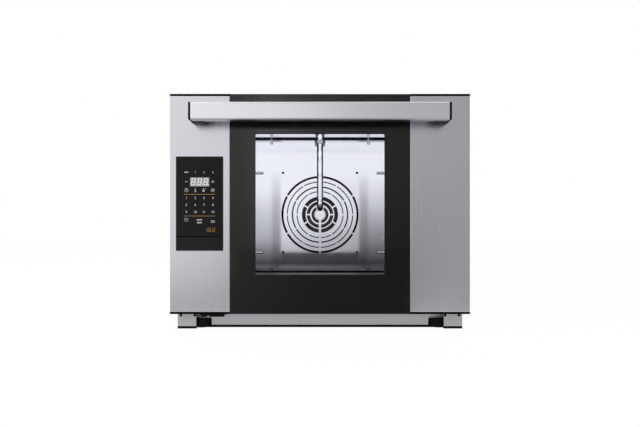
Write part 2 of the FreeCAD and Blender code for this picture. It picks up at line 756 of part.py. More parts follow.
# Outer skins.
side_sheet = block((HALF - SKIN, HALF), (FRAME_FRONT, REAR), (DOOR_LIFT, TOP_UNDER))
side_flange = block((HALF - FLANGE, HALF - SKIN), (MOUTH, REAR_INSIDE), (DOOR_LIFT, DOOR_LIFT + SKIN))
side_plain = fuse([side_sheet, side_flange])
side_slots = []
for k in range(SIDE_VENTS):
    z = VENT_LOW + k * VENT_PITCH
    y = REAR - SIDE_VENT_BACK
    side_slots.append(
        block((HALF - SKIN, HALF), (y - VENT_LENGTH / 2, y + VENT_LENGTH / 2), (z, z + VENT_HEIGHT))
    )
right_side_panel = cut(side_plain, side_slots)
left_side_panel = mirror_x(right_side_panel)
lid = block((-HALF, HALF), (FRAME_FRONT, REAR), (TOP_UNDER, HEIGHT))
lip = block((HALF - 2 * SKIN, HALF - SKIN), (MOUTH, REAR_INSIDE), (TOP_UNDER - LID_LIP, TOP_UNDER))
top_cover = fuse([lid, lip, mirror_x(lip)])
rear_sheet = block((-HALF + SKIN, HALF - SKIN), (REAR_INSIDE, REAR), (FOOT_HEIGHT, TOP_UNDER))
rear_cuts = [
    rod((EXHAUST_X, REAR_INSIDE, EXHAUST_Z), (0, 1, 0), EXHAUST_RADIUS + GAP, SKIN),
    rod((VALVE_X, REAR_INSIDE, VALVE_Z), (0, 1, 0), INLET_SHANK + GAP, SKIN),
    rod((GLAND_X, REAR_INSIDE, GLAND_Z), (0, 1, 0), GLAND_SHANK + GAP, SKIN),
]
for k in range(REAR_VENTS):
    z = FAN_Z + (k - (REAR_VENTS - 1) / 2) * VENT_PITCH
    for side in (-1, 0, 1):
        rear_cuts.append(slot_y(side * REAR_VENT_X, z, VENT_LENGTH, VENT_HEIGHT, (REAR_INSIDE, REAR)))
rear_panel = cut(rear_sheet, rear_cuts)

# Front frame, cavity liner, mineral wool and door seal.
mouth_x = (-CAVITY_HALF, CAVITY_HALF)
mouth_z = (CAVITY_FLOOR, CEILING)
frame_sheet = block((-HALF + SKIN, HALF - SKIN), (FRAME_FRONT, MOUTH), (DOOR_LIFT, TOP_UNDER))
frame_hole = rounded(mouth_x, (FRAME_FRONT, MOUTH), mouth_z, CAVITY_CORNER)
frame_foot = block(
    (-base_half + FLANGE, base_half - FLANGE), (MOUTH, MOUTH + FLANGE), (DOOR_LIFT, DOOR_LIFT + FRAME_SHEET)
)
front_frame = fuse([frame_sheet.cut(frame_hole), frame_foot])


def grown(amount, y):
    x = (mouth_x[0] - amount, mouth_x[1] + amount)
    z = (mouth_z[0] - amount, mouth_z[1] + amount)
    return rounded(x, y, z, CAVITY_CORNER + amount)


pipe_y = SHEET_FRONT - PIPE_SET
liner_cuts = [
    rod((0, CAVITY_BACK, FAN_Z), (0, 1, 0), SHAFT_RADIUS + SHAFT_CLEAR, LINER),
    rod((EXHAUST_X, CAVITY_BACK, EXHAUST_Z), (0, 1, 0), EXHAUST_RADIUS + GAP, LINER),
    rod((PROBE_X, CAVITY_BACK, PROBE_Z), (0, 1, 0), PROBE_RADIUS + GAP, LINER),
    rod((0, pipe_y, CEILING), (0, 0, 1), PIPE_RADIUS + GAP, LINER),
]
heater_exit = [HEATER_RADIUS, -HEATER_RADIUS]
for x in heater_exit:
    liner_cuts.append(rod((x, CAVITY_BACK, FAN_Z - HEATER_TAIL), (0, 1, 0), HEATER_ROD + GAP, LINER))
liner_shell = grown(LINER, (MOUTH, LINER_BACK)).cut(grown(0, (MOUTH, CAVITY_BACK)))
cavity_liner = cut(liner_shell, liner_cuts)

wool_shell = grown(LINER + INSULATION, (MOUTH, WOOL_BACK)).cut(grown(LINER + GAP, (MOUTH, LINER_BACK + GAP)))
wool_cuts = [
    rod((0, LINER_BACK, FAN_Z), (0, 1, 0), SHAFT_PASS, BACK_INSULATION),
    rod((EXHAUST_X, LINER_BACK, EXHAUST_Z), (0, 1, 0), EXHAUST_RADIUS + WOOL_CLEAR, BACK_INSULATION),
    rod((PROBE_X, LINER_BACK, PROBE_Z), (0, 1, 0), PROBE_HEX + WOOL_CLEAR, BACK_INSULATION),
    rod((0, pipe_y, CEILING), (0, 0, 1), PIPE_RADIUS + WOOL_CLEAR, LINER + INSULATION),
    block(
        (-FEED_RADIUS - WOOL_CLEAR, FEED_RADIUS + WOOL_CLEAR),
        (pipe_y, WOOL_BACK),
        (CEILING + FEED_RISE - FEED_RADIUS - WOOL_CLEAR, CEILING + LINER + INSULATION),
    ),
]
for x in heater_exit:
    tail_hole = rod((x, LINER_BACK, FAN_Z - HEATER_TAIL), (0, 1, 0), HEATER_ROD + WOOL_CLEAR, BACK_INSULATION)
    wool_cuts.append(tail_hole)
standoffs = []
for x in (-STANDOFF_SPREAD, STANDOFF_SPREAD):
    for z in (FAN_Z - STANDOFF_SPREAD, FAN_Z + STANDOFF_SPREAD):
        standoffs.append((x, z))
for x, z in standoffs:
    wool_cuts.append(rod((x, LINER_BACK, z), (0, 1, 0), STANDOFF_RADIUS + GAP, BACK_INSULATION))
insulation = cut(wool_shell, wool_cuts)

seal_y = (DOOR_BACK + GAP, FRAME_FRONT)
seal_outer = grown(SEAL_INSET + SEAL_WIDTH, seal_y)
seal_outer = seal_outer.makeFillet(SEAL_ROUND, edges_at_y(seal_outer, seal_y[0]))
door_gasket = seal_outer.cut(grown(SEAL_INSET, seal_y))

# Fan deflector.
sheet_low = CAVITY_FLOOR + DEFLECTOR_GAP
sheet_high = CEILING - DEFLECTOR_GAP
sheet_back = SHEET_FRONT + DEFLECTOR_SHEET
flat_low = sheet_low + EDGE_LIP
flat_high = sheet_high - EDGE_LIP
sheet_half = CAVITY_HALF - DEFLECTOR_SIDE
bent_sheet = prism_x(
    [
        (SHEET_FRONT + EDGE_SETBACK, sheet_low),
        (SHEET_FRONT, flat_low),
        (SHEET_FRONT, flat_high),
        (SHEET_FRONT + EDGE_SETBACK, sheet_high),
        (sheet_back + EDGE_SETBACK, sheet_high),
        (sheet_back, flat_high),
        (sheet_back, flat_low),
        (sheet_back + EDGE_SETBACK, sheet_low),
    ],
    (-sheet_half, sheet_half),
)
slots = []
slot_y0 = SHEET_FRONT - DEFLECTOR_SHEET
slot_depth = 3 * DEFLECTOR_SHEET
spoke = block((-SPOKE / 2, SPOKE / 2), (slot_y0, slot_y0 + slot_depth), (flat_low, flat_high))
flat_reach = min(sheet_half, FAN_Z - flat_low, flat_high - FAN_Z)
for inner, outer, angles in SLOT_RINGS:
    if outer > flat_reach:
        continue
    ring = rod((0, slot_y0, FAN_Z), (0, 1, 0), outer, slot_depth)
    ring = ring.cut(rod((0, slot_y0, FAN_Z), (0, 1, 0), inner, slot_depth))
    bridges = [spoke]
    for angle in angles:
        bridge = block((0, outer + BRIDGE), (slot_y0, slot_y0 + slot_depth), (-BRIDGE / 2, BRIDGE / 2))
        bridge.rotate(V(0, 0, 0), V(0, 1, 0), -angle)
        bridge.translate(V(0, 0, FAN_Z))
        bridges.append(bridge)
    slots += cut(ring, bridges).Solids
screw_places = []
for x in (-SCREW_SPREAD, SCREW_SPREAD):
    for z in (FAN_Z + SCREW_ABOVE, FAN_Z - SCREW_BELOW):
        screw_places.append((x, z))
for x, z in screw_places:
    slots.append(rod((x, slot_y0, z), (0, 1, 0), SCREW_SHANK + GAP, slot_depth))
fan_deflector = cut(bent_sheet, slots)

spacers = []
screws = []
for x, z in screw_places:
    post = rod((x, sheet_back, z), (0, 1, 0), SPACER_RADIUS, CAVITY_BACK - sheet_back)
    spacers.append(post.cut(rod((x, sheet_back, z), (0, 1, 0), SCREW_SHANK + GAP, SCREW_LENGTH)))
    head = rod((x, SHEET_FRONT - SCREW_HEAD_THICK, z), (0, 1, 0), SCREW_HEAD, SCREW_HEAD_THICK)
    shank = rod((x, SHEET_FRONT, z), (0, 1, 0), SCREW_SHANK, SCREW_LENGTH)
    screws.append(fuse([head, shank]))
deflector_spacers = Part.makeCompound(spacers)
deflector_screws = Part.makeCompound(screws)

hooks = []
hook_y = (SHEET_FRONT - GAP - HOOK_THICK, SHEET_FRONT - GAP)
for centre, wall in ((CEILING - HOOK_TOP_DROP, CEILING), (CAVITY_FLOOR + HOOK_FLOOR_RISE, CAVITY_FLOOR)):
    head = rod((HOOK_X, hook_y[0], centre), (0, 1, 0), HOOK_HEAD, HOOK_THICK)
    stem = block(
        (HOOK_X - HOOK_STEM / 2, HOOK_X + HOOK_STEM / 2), hook_y, (min(centre, wall), max(centre, wall))
    )
    hook = fuse([head, stem])
    hooks += [hook, mirror_x(hook)]
deflector_hooks = Part.makeCompound(hooks)


# Wire racks: a bent frame along the side wall, tray rails, and two arms that reach in behind the trays.
def tray_rack():
    wall_x = CAVITY_HALF - POST - GAP
    front = MOUTH + RACK_FRONT
    back = front + RACK_LENGTH
    low = CAVITY_FLOOR + RACK_BOTTOM
    high = CEILING - RACK_DROP
    rail_x = CAVITY_HALF - TRAY_RAIL_SET
    arm_tip = SCREW_SPREAD + ARM_CLEAR
    arm_y = SHEET_FRONT - ROD - GAP
    frame = [V(wall_x, front, high), V(wall_x, front, low), V(wall_x, back, low), V(wall_x, back, high)]
    wires = [bent_pipe(frame, POST, RACK_BEND)]
    wires.append(rod((wall_x, front, high - RACK_BEND), (0, 1, 0), RAIL_ROD, RACK_LENGTH))
    for k in range(TRAY_LEVELS):
        z = CAVITY_FLOOR + TRAY_FIRST + k * TRAY_PITCH
        rail = [V(wall_x, front, z), V(rail_x, front, z), V(rail_x, back, z), V(wall_x, back, z)]
        wires.append(bent_pipe(rail, RAIL_ROD, RAIL_BEND))
    for rise in (ARM_UPPER, ARM_LOWER):
        z = CAVITY_FLOOR + rise
        arm = bent_pipe([V(wall_x, back, z), V(wall_x, arm_y, z), V(arm_tip, arm_y, z)], ROD, RACK_BEND)
        tip = [e for e in arm.Edges if e.BoundBox.XMax < arm_tip + GAP]
        wires.append(arm.makeFillet(TIP_ROUND, tip))
    return fuse(wires)


right_tray_rack = tray_rack()
left_tray_rack = mirror_x(right_tray_rack)
studs = []
stud_z = CEILING - RACK_DROP - RACK_BEND - RAIL_ROD - STUD_RADIUS - GAP
for y in (MOUTH + RACK_FRONT + STUD_LENGTH, MOUTH + RACK_FRONT + RACK_LENGTH - STUD_LENGTH):
    stud = rod((CAVITY_HALF - STUD_LENGTH, y, stud_z), (1, 0, 0), STUD_RADIUS, STUD_LENGTH)
    studs += [stud, mirror_x(stud)]
rack_studs = Part.makeCompound(studs)

# Water pipe from the ceiling to the fan, its flange and nut, and the feed line.
pipe_top = CEILING + PIPE_STUB
pipe_end = SHEET_FRONT - GAP
pipe_path = [V(0, pipe_y, pipe_top), V(0, pipe_y, PIPE_LEG), V(0, pipe_end, PIPE_LEG)]
collar = rod((0, pipe_end - PIPE_COLLAR_LENGTH, PIPE_LEG), (0, 1, 0), PIPE_COLLAR, PIPE_COLLAR_LENGTH)
pipe_bore = bent_pipe(pipe_path, PIPE_BORE, PIPE_BEND)
steam_pipe = fuse([bent_pipe(pipe_path, PIPE_RADIUS, PIPE_BEND), collar]).cut(pipe_bore)
spigot_low = CEILING - FLANGE_THICK - SPIGOT_LENGTH
nut_low = spigot_low - NUT_HEIGHT
pipe_clear = rod((0, pipe_y, nut_low), (0, 0, 1), PIPE_RADIUS + GAP, CEILING - nut_low)
flange_ring = rod((0, pipe_y, CEILING - FLANGE_THICK), (0, 0, 1), FLANGE_RADIUS, FLANGE_THICK)
spigot = rod((0, pipe_y, spigot_low), (0, 0, 1), SPIGOT_RADIUS, SPIGOT_LENGTH)
pipe_flange = fuse([flange_ring, spigot]).cut(pipe_clear)
nut_half = NUT_HEIGHT / 2
nut_end = NUT_CORNER - NUT_CHAMFER
nut_middle = V(0, pipe_y, nut_low + nut_half)
nut_turned = fuse(
    [
        Part.makeCone(nut_end, nut_end + nut_half, nut_half, V(0, pipe_y, nut_low), V(0, 0, 1)),
        Part.makeCone(nut_end + nut_half, nut_end, nut_half, nut_middle, V(0, 0, 1)),
    ]
)
nut_stock = hexagon(V(0, pipe_y, nut_low), V(0, 0, 1), NUT_CORNER, NUT_HEIGHT)
pipe_nut = nut_stock.common(nut_turned).cut(pipe_clear)
feed_z = CEILING + FEED_RISE
valve_y = (REAR_INSIDE - VALVE_LENGTH, REAR_INSIDE)
valve_mid = (valve_y[0] + valve_y[1]) / 2
valve_top = VALVE_Z + VALVE_BODY / 2
feed_pipe = bent_pipe(
    [
        V(VALVE_X, valve_mid, valve_top),
        V(VALVE_X, valve_mid, feed_z),
        V(0, valve_mid, feed_z),
        V(0, pipe_y + PIPE_RADIUS, feed_z),
    ],
    FEED_RADIUS,
    FEED_BEND,
)

# Fan wheel: back disc, curved blades, front ring and hub; it sits on the motor shaft.
disc_y = (WHEEL_BACK - WHEEL_SHEET, WHEEL_BACK)
disc = rod((0, disc_y[0], FAN_Z), (0, 1, 0), WHEEL_RADIUS, WHEEL_SHEET)
front_ring = rod((0, WHEEL_FRONT, FAN_Z), (0, 1, 0), WHEEL_RADIUS, WHEEL_SHEET)
front_ring = front_ring.cut(rod((0, WHEEL_FRONT, FAN_Z), (0, 1, 0), WHEEL_EYE, WHEEL_SHEET))
hub = rod((0, WHEEL_BACK - HUB_LENGTH, FAN_Z), (0, 1, 0), HUB_RADIUS, HUB_LENGTH)
blade_mid = (WHEEL_EYE + WHEEL_RADIUS) / 2


def blade_edge(offset):
    start = V(WHEEL_EYE + WHEEL_SHEET, WHEEL_FRONT, offset)
    middle = V(blade_mid, WHEEL_FRONT, BLADE_BOW + offset)
    finish = V(WHEEL_RADIUS - WHEEL_SHEET, WHEEL_FRONT, BLADE_SWEEP + offset)
    return start, middle, finish


upper = blade_edge(WHEEL_SHEET / 2)
lower = blade_edge(-WHEEL_SHEET / 2)
blade_wire = Part.Wire(
    [
        Part.Arc(*lower).toShape(),
        Part.LineSegment(lower[2], upper[2]).toShape(),
        Part.Arc(upper[2], upper[1], upper[0]).toShape(),
        Part.LineSegment(upper[0], lower[0]).toShape(),
    ]
)
blade = Part.Face(blade_wire).extrude(V(0, WHEEL_WIDTH, 0))
blade.translate(V(0, 0, FAN_Z))
blade = blade.common(rod((0, WHEEL_FRONT, FAN_Z), (0, 1, 0), WHEEL_RADIUS, WHEEL_WIDTH))
wheel = [disc, front_ring, hub]
for k in range(BLADES):
    copy = blade.copy()
    copy.rotate(V(0, 0, FAN_Z), V(0, 1, 0), 360.0 * k / BLADES)
    wheel.append(copy)
shaft_front = WHEEL_BACK - HUB_LENGTH - FAN_NUT_LENGTH
shaft_hole = rod((0, shaft_front, FAN_Z), (0, 1, 0), SHAFT_RADIUS + SHAFT_FIT, IMPELLER_BACK - shaft_front)
fan_wheel = fuse(wheel).cut(shaft_hole)
fan_nut = hexagon(V(0, shaft_front, FAN_Z), V(0, 1, 0), FAN_NUT_RADIUS, FAN_NUT_LENGTH).cut(shaft_hole)
motor_shaft = rod((0, shaft_front, FAN_Z), (0, 1, 0), SHAFT_RADIUS, IMPELLER_BACK - shaft_front)

# Tubular heater wound round the fan in tilted half circles, its two ends going out through the back wall.
heater_y = SHEET_FRONT + HEATER_SET


def coil_end(k):
    return V(HEATER_RADIUS * (-1) ** k, heater_y + HEATER_PITCH * k / 2, FAN_Z)


exit_z = FAN_Z - HEATER_TAIL
heater_start = coil_end(0)
heater_path = bent_line(
    [
        V(heater_start.x, WOOL_BACK, exit_z),
        V(heater_start.x, heater_start.y, exit_z),
        heater_start,
    ],
    HEATER_BEND,
)
for k in range(HEATER_HALF_TURNS):
    middle = (coil_end(k) + coil_end(k + 1)) * 0.5
    crown = (coil_end(k + 1) - coil_end(k)).Length / 2
    arc = Part.Arc(coil_end(k), middle + V(0, 0, crown * (-1) ** k), coil_end(k + 1))
    heater_path.append(arc.toShape())
heater_finish = coil_end(HEATER_HALF_TURNS)
heater_path += bent_line(
    [
        heater_finish,
        V(heater_finish.x, heater_finish.y, exit_z),
        V(heater_finish.x, WOOL_BACK, exit_z),
    ],
    HEATER_BEND,
)
heating_element = sweep_ring(heater_path, HEATER_ROD)
heater_points = []
for edge in heater_path:
    heater_points += edge.discretize(Distance=HEATER_ROD)
heater_gap = HEATER_RADIUS
far_along = math.ceil(math.pi * HEATER_BEND / HEATER_ROD)
for k in range(len(heater_points)):
    for other in heater_points[k + far_along:]:
        heater_gap = min(heater_gap, (heater_points[k] - other).Length - 2 * HEATER_ROD)
print("least gap of the heater to itself", round(heater_gap, 2))

# Motor on its plate behind the insulation, with a cooling impeller at its tail.
plate_half = MOTOR_PLATE / 2
plate = block((-plate_half, plate_half), (WOOL_BACK, PLATE_BACK), (FAN_Z - plate_half, FAN_Z + plate_half))
legs = [rod((x, LINER_BACK, z), (0, 1, 0), STANDOFF_RADIUS, WOOL_BACK - LINER_BACK) for x, z in standoffs]
plate_hole = rod((0, WOOL_BACK, FAN_Z), (0, 1, 0), SHAFT_PASS, MOTOR_PLATE_SHEET)
motor_plate = fuse([plate] + legs).cut(plate_hole)
can = rod((0, PLATE_BACK, FAN_Z), (0, 1, 0), MOTOR_RADIUS - MOTOR_RIB, MOTOR_LENGTH)
ribs = []
for k in range(MOTOR_RIBS):
    rib = block(
        (0, MOTOR_RADIUS), (PLATE_BACK, MOTOR_BACK - MOTOR_RIB), (-MOTOR_RIB / 2, MOTOR_RIB / 2)
    )
    rib.rotate(V(0, 0, 0), V(0, 1, 0), 360.0 * k / MOTOR_RIBS)
    rib.translate(V(0, 0, FAN_Z))
    ribs.append(rib)
bearing = rod((0, PLATE_BACK, FAN_Z), (0, 1, 0), SHAFT_RADIUS + SHAFT_RUN, MOTOR_LENGTH)
motor_body = fuse([can] + ribs).cut(bearing)
vane_root = rod((0, IMPELLER_FRONT, FAN_Z), (0, 1, 0), IMPELLER_HUB, IMPELLER_LENGTH)
vane_disc = rod((0, IMPELLER_BACK - IMPELLER_SHEET, FAN_Z), (0, 1, 0), IMPELLER_RADIUS, IMPELLER_SHEET)
vanes = [vane_root, vane_disc]
for k in range(IMPELLER_VANES):
    vane = block(
        (0, IMPELLER_RADIUS - IMPELLER_SHEET),
        (IMPELLER_FRONT, IMPELLER_BACK),
        (-IMPELLER_SHEET / 2, IMPELLER_SHEET / 2),
    )
    vane.rotate(V(0, 0, 0), V(0, 1, 0), 360.0 * k / IMPELLER_VANES)
    vane.translate(V(0, 0, FAN_Z))
    vanes.append(vane)
cooling_impeller = fuse(vanes).cut(shaft_hole)

# Probe, exhaust, water valve, cable gland, terminal block and power board.
probe_rod = rod((PROBE_X, CAVITY_BACK - PROBE_REACH, PROBE_Z), (0, 1, 0), PROBE_RADIUS, PROBE_REACH + LINER)
probe_hex = hexagon(V(PROBE_X, LINER_BACK, PROBE_Z), V(0, 1, 0), PROBE_HEX, PROBE_TAIL)
temperature_probe = fuse([probe_rod, probe_hex])
exhaust_length = REAR + FITTING_REACH - CAVITY_BACK
exhaust = rod((EXHAUST_X, CAVITY_BACK, EXHAUST_Z), (0, 1, 0), EXHAUST_RADIUS, exhaust_length)
exhaust_pipe = exhaust.cut(rod((EXHAUST_X, CAVITY_BACK, EXHAUST_Z), (0, 1, 0), EXHAUST_BORE, exhaust_length))
half_valve = VALVE_BODY / 2
valve_parts = [
    block(
        (VALVE_X - half_valve, VALVE_X + half_valve),
        valve_y,
        (VALVE_Z - half_valve, VALVE_Z + half_valve),
    ),
    rod((VALVE_X - half_valve - COIL_HEIGHT, valve_mid, VALVE_Z), (1, 0, 0), COIL_RADIUS, COIL_HEIGHT),
    rod((VALVE_X, REAR_INSIDE, VALVE_Z), (0, 1, 0), INLET_SHANK, SKIN),
    rod((VALVE_X, REAR, VALVE_Z), (0, 1, 0), INLET_COLLAR, INLET_COLLAR_THICK),
    rod((VALVE_X, REAR, VALVE_Z), (0, 1, 0), INLET_RADIUS, FITTING_REACH),
]
valve_bore = rod((VALVE_X, valve_mid, VALVE_Z), (0, 1, 0), INLET_BORE, REAR + FITTING_REACH - valve_mid)
water_valve = fuse(valve_parts).cut(valve_bore)
gland_in = REAR_INSIDE - GLAND_NUT_THICK
gland_parts = [
    hexagon(V(GLAND_X, gland_in, GLAND_Z), V(0, 1, 0), GLAND_HEX, GLAND_NUT_THICK),
    rod((GLAND_X, REAR_INSIDE, GLAND_Z), (0, 1, 0), GLAND_SHANK, SKIN),
    hexagon(V(GLAND_X, REAR, GLAND_Z), V(0, 1, 0), GLAND_HEX, GLAND_HEX_THICK),
    rod((GLAND_X, REAR + GLAND_HEX_THICK, GLAND_Z), (0, 1, 0), GLAND_BODY, FITTING_REACH - GLAND_HEX_THICK),
]
gland_length = REAR + FITTING_REACH - gland_in
cable_gland = fuse(gland_parts).cut(rod((GLAND_X, gland_in, GLAND_Z), (0, 1, 0), GLAND_BORE, gland_length))
block_x = (TERMINAL_X - TERMINAL_WIDTH / 2, TERMINAL_X + TERMINAL_WIDTH / 2)
block_y = (REAR_INSIDE - TERMINAL_BACK - TERMINAL_DEPTH, REAR_INSIDE - TERMINAL_BACK)
terminal = block(block_x, block_y, (PAN_FLOOR, PAN_FLOOR + TERMINAL_HEIGHT))
ways = []
for k in range(TERMINAL_WAYS):
    x = block_x[0] + (k + 0.5) * TERMINAL_WIDTH / TERMINAL_WAYS
    way = (x, block_y[0] + TERMINAL_DEPTH / 2, PAN_FLOOR + TERMINAL_HEIGHT / 2)
    ways.append(rod(way, (0, 0, 1), TERMINAL_HOLE, TERMINAL_HEIGHT / 2))
terminal_block = cut(terminal, ways)
board_at = -HALF + SKIN + POWER_STANDOFF
power_y = (REAR_INSIDE - GAP - POWER_DEPTH, REAR_INSIDE - GAP)
power_z = (POWER_BOTTOM, POWER_BOTTOM + POWER_HEIGHT)
power = [block((board_at, board_at + BOARD_THICK), power_y, power_z)]
for y in (power_y[0] + POWER_INSET, power_y[1] - POWER_INSET):
    for z in (power_z[0] + POWER_INSET, power_z[1] - POWER_INSET):
        power.append(rod((-HALF + SKIN, y, z), (1, 0, 0), POWER_BOSS, POWER_STANDOFF))
for k in range(RELAYS):
    z = power_z[0] + (k + 0.5) * POWER_HEIGHT / RELAYS
    power.append(
        block(
            (board_at + BOARD_THICK, board_at + BOARD_THICK + RELAY),
            ((power_y[0] + power_y[1] - RELAY) / 2, (power_y[0] + power_y[1] + RELAY) / 2),
            (z - RELAY / 2, z + RELAY / 2),
        )
    )
power_board = fuse(power)

PARTS = {
    "base_pan": base_pan,
    "base_skirt": base_skirt,
    "rubber_feet": rubber_feet,
    "corner_shoes": corner_shoes,
    "shoe_pads": shoe_pads,
    "cable_guide": cable_guide,
    "left_side_panel": left_side_panel,
    "right_side_panel": right_side_panel,
    "top_cover": top_cover,
    "rear_panel": rear_panel,
    "front_frame": front_frame,
    "cavity_liner": cavity_liner,
    "insulation": insulation,
    "door_gasket": door_gasket,
    "fan_deflector": fan_deflector,
    "deflector_spacers": deflector_spacers,
    "deflector_screws": deflector_screws,
    "deflector_hooks": deflector_hooks,
    "left_tray_rack": left_tray_rack,
    "right_tray_rack": right_tray_rack,
    "rack_studs": rack_studs,
    "steam_pipe": steam_pipe,
    "pipe_flange": pipe_flange,
    "pipe_nut": pipe_nut,
    "feed_pipe": feed_pipe,
    "heating_element": heating_element,
    "motor_plate": motor_plate,
    "motor_body": motor_body,
    "temperature_probe": temperature_probe,
    "exhaust_pipe": exhaust_pipe,
    "water_valve": water_valve,
    "cable_gland": cable_gland,
    "terminal_block": terminal_block,
    "power_board": power_board,
    "hinge_lugs": hinge_lugs,
    "hinge_pins": hinge_pins,
    "fan_wheel": fan_wheel,
    "fan_nut": fan_nut,
    "motor_shaft": motor_shaft,
    "cooling_impeller": cooling_impeller,
    "inner_panel": inner_panel,
    "window_surround": window_surround,
    "outer_glass": outer_glass,
    "inner_glass": inner_glass,
    "glass_clips": glass_clips,
    "door_lamps": door_lamps,
    "left_door_cover": left_door_cover,
    "right_door_cover": right_door_cover,
    "top_rail": top_rail,
    "bottom_rail": bottom_rail,
    "handle_bar": handle_bar,
    "handle_end_caps": handle_end_caps,
    "handle_brackets": handle_brackets,
    "hinge_cases": hinge_cases,
    "control_housing": control_housing,
    "control_glass": control_glass,
    "control_lower_cover": control_lower_cover,
    "control_board": control_board,
    "display_module": display_module,
}
for name, shape in PARTS.items():
    shape.exportStep("parts/" + name + ".step")
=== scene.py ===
import math

import bpy
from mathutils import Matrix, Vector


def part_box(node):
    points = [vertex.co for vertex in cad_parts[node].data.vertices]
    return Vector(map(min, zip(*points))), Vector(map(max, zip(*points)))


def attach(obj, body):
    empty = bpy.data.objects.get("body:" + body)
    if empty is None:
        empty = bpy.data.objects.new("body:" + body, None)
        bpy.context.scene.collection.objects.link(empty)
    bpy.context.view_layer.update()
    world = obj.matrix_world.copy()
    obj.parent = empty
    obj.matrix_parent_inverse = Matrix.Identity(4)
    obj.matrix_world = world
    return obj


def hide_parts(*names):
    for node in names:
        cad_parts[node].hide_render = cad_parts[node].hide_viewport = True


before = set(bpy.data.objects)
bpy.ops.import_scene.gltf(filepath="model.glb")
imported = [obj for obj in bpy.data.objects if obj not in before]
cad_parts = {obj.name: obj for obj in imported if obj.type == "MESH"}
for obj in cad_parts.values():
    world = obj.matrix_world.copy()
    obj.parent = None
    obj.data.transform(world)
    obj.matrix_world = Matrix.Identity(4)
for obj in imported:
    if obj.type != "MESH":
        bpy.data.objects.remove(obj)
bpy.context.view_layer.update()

# Base pan, skirt and corner shoes.
# Cold-rolled stainless sheet, laser cut and folded, left with its dull mill finish;
# the shoes are screwed up under the body and carry the hinge lugs.
bpy.ops.object.select_all(action="DESELECT")


def colour(code):
    channels = [int(code[k:k + 2], 16) / 255 for k in (1, 3, 5)]
    linear = [c / 12.92 if c <= 0.04045 else ((c + 0.055) / 1.055) ** 2.4 for c in channels]
    return linear + [1.0]


def add(tree, kind, sockets, **settings):
    made = tree.nodes.new(kind)
    for name, value in settings.items():
        setattr(made, name, value)
    for name, value in sockets.items():
        if isinstance(value, bpy.types.NodeSocket):
            tree.links.new(value, made.inputs[name])
        else:
            made.inputs[name].default_value = value
    return made


def new_finish(name):
    finish = bpy.data.materials.new(name)
    finish.use_nodes = True
    finish.node_tree.nodes.clear()
    return finish, finish.node_tree


def sheet_steel(name, code, dark_code, grain_mm, gloss, lift):
    # Rolled or brushed sheet: streaks of the grain's size shade the metal and vary its gloss.
    grain_depth = 0.0001
    finish, tree = new_finish(name)
    place = add(tree, "ShaderNodeTexCoord", {})
    size = add(
        tree, "ShaderNodeMapping",
        {"Vector": place.outputs["Object"], "Scale": [1000 / g for g in grain_mm]},
    )
    grain = add(
        tree, "ShaderNodeTexNoise",
        {"Vector": size.outputs["Vector"], "Scale": 1.0, "Detail": 5.0, "Roughness": 0.6},
    )
    shade = add(
        tree, "ShaderNodeMix",
        {"Factor": grain.outputs["Fac"], 6: colour(dark_code), 7: colour(code)}, data_type="RGBA",
    )
    rough = add(
        tree, "ShaderNodeMapRange",
        {
            "Value": grain.outputs["Fac"], "From Min": 0.3, "From Max": 0.7,
            "To Min": gloss[0], "To Max": gloss[1],
        },
    )
    bump = add(
        tree, "ShaderNodeBump",
        {"Height": grain.outputs["Fac"], "Strength": lift, "Distance": grain_depth},
    )
    skin = add(
        tree, "ShaderNodeBsdfPrincipled",
        {
            "Base Color": shade.outputs[2], "Metallic": 1.0,
            "Roughness": rough.outputs["Result"], "Normal": bump.outputs["Normal"],
        },
    )
    add(tree, "ShaderNodeOutputMaterial", {"Surface": skin.outputs["BSDF"]})
    return finish


def dress(finish, *names):
    for name in names:
        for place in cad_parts[name].material_slots:
            place.material = finish


# Mill-finish stainless steel: the rolls leave long faint streaks, drawn 6 mm wide so that they show.
mill_steel = sheet_steel("mill_finish_stainless", "#B9BABD", "#ABACAF", (90, 6, 6), (0.4, 0.5), 0.05)
dress(mill_steel, "base_pan", "base_skirt", "corner_shoes")

# Feet, shoe pads and door seal.
# Moulded black rubber and silicone, matt from the mould, with dust in the grain;
# the feet are screwed to the pan and the seal is pressed on the front frame.


def moulded_black(name, code, pale_code, grit_mm, gloss, lift, sheen):
    # Moulded plastic or rubber: a fine pebbled grit, slightly paler in the patches where it is rubbed.
    grit_depth = 0.0002
    patch_mm = 40
    finish, tree = new_finish(name)
    place = add(tree, "ShaderNodeTexCoord", {}).outputs["Object"]
    grit = add(tree, "ShaderNodeTexNoise", {"Vector": place, "Scale": 1000 / grit_mm, "Detail": 3.0})
    wear = add(tree, "ShaderNodeTexNoise", {"Vector": place, "Scale": 1000 / patch_mm, "Detail": 4.0})
    shade = add(
        tree, "ShaderNodeMix",
        {"Factor": wear.outputs["Fac"], 6: colour(code), 7: colour(pale_code)}, data_type="RGBA",
    )
    rough = add(
        tree, "ShaderNodeMapRange",
        {
            "Value": wear.outputs["Fac"], "From Min": 0.3, "From Max": 0.7,
            "To Min": gloss[0], "To Max": gloss[1],
        },
    )
    bump = add(
        tree, "ShaderNodeBump",
        {"Height": grit.outputs["Fac"], "Strength": lift, "Distance": grit_depth},
    )
    skin = add(
        tree, "ShaderNodeBsdfPrincipled",
        {
            "Base Color": shade.outputs[2], "IOR": 1.5, "Specular IOR Level": sheen,
            "Roughness": rough.outputs["Result"], "Normal": bump.outputs["Normal"],
        },
    )
    add(tree, "ShaderNodeOutputMaterial", {"Surface": skin.outputs["BSDF"]})
    return finish


# Vulcanised rubber: almost no gloss, grit of 0.8 mm from the mould.
black_rubber = moulded_black("moulded_rubber", "#0B0B0C", "#151516", 0.8, (0.62, 0.78), 0.35, 0.15)
dress(black_rubber, "rubber_feet", "shoe_pads", "door_gasket")

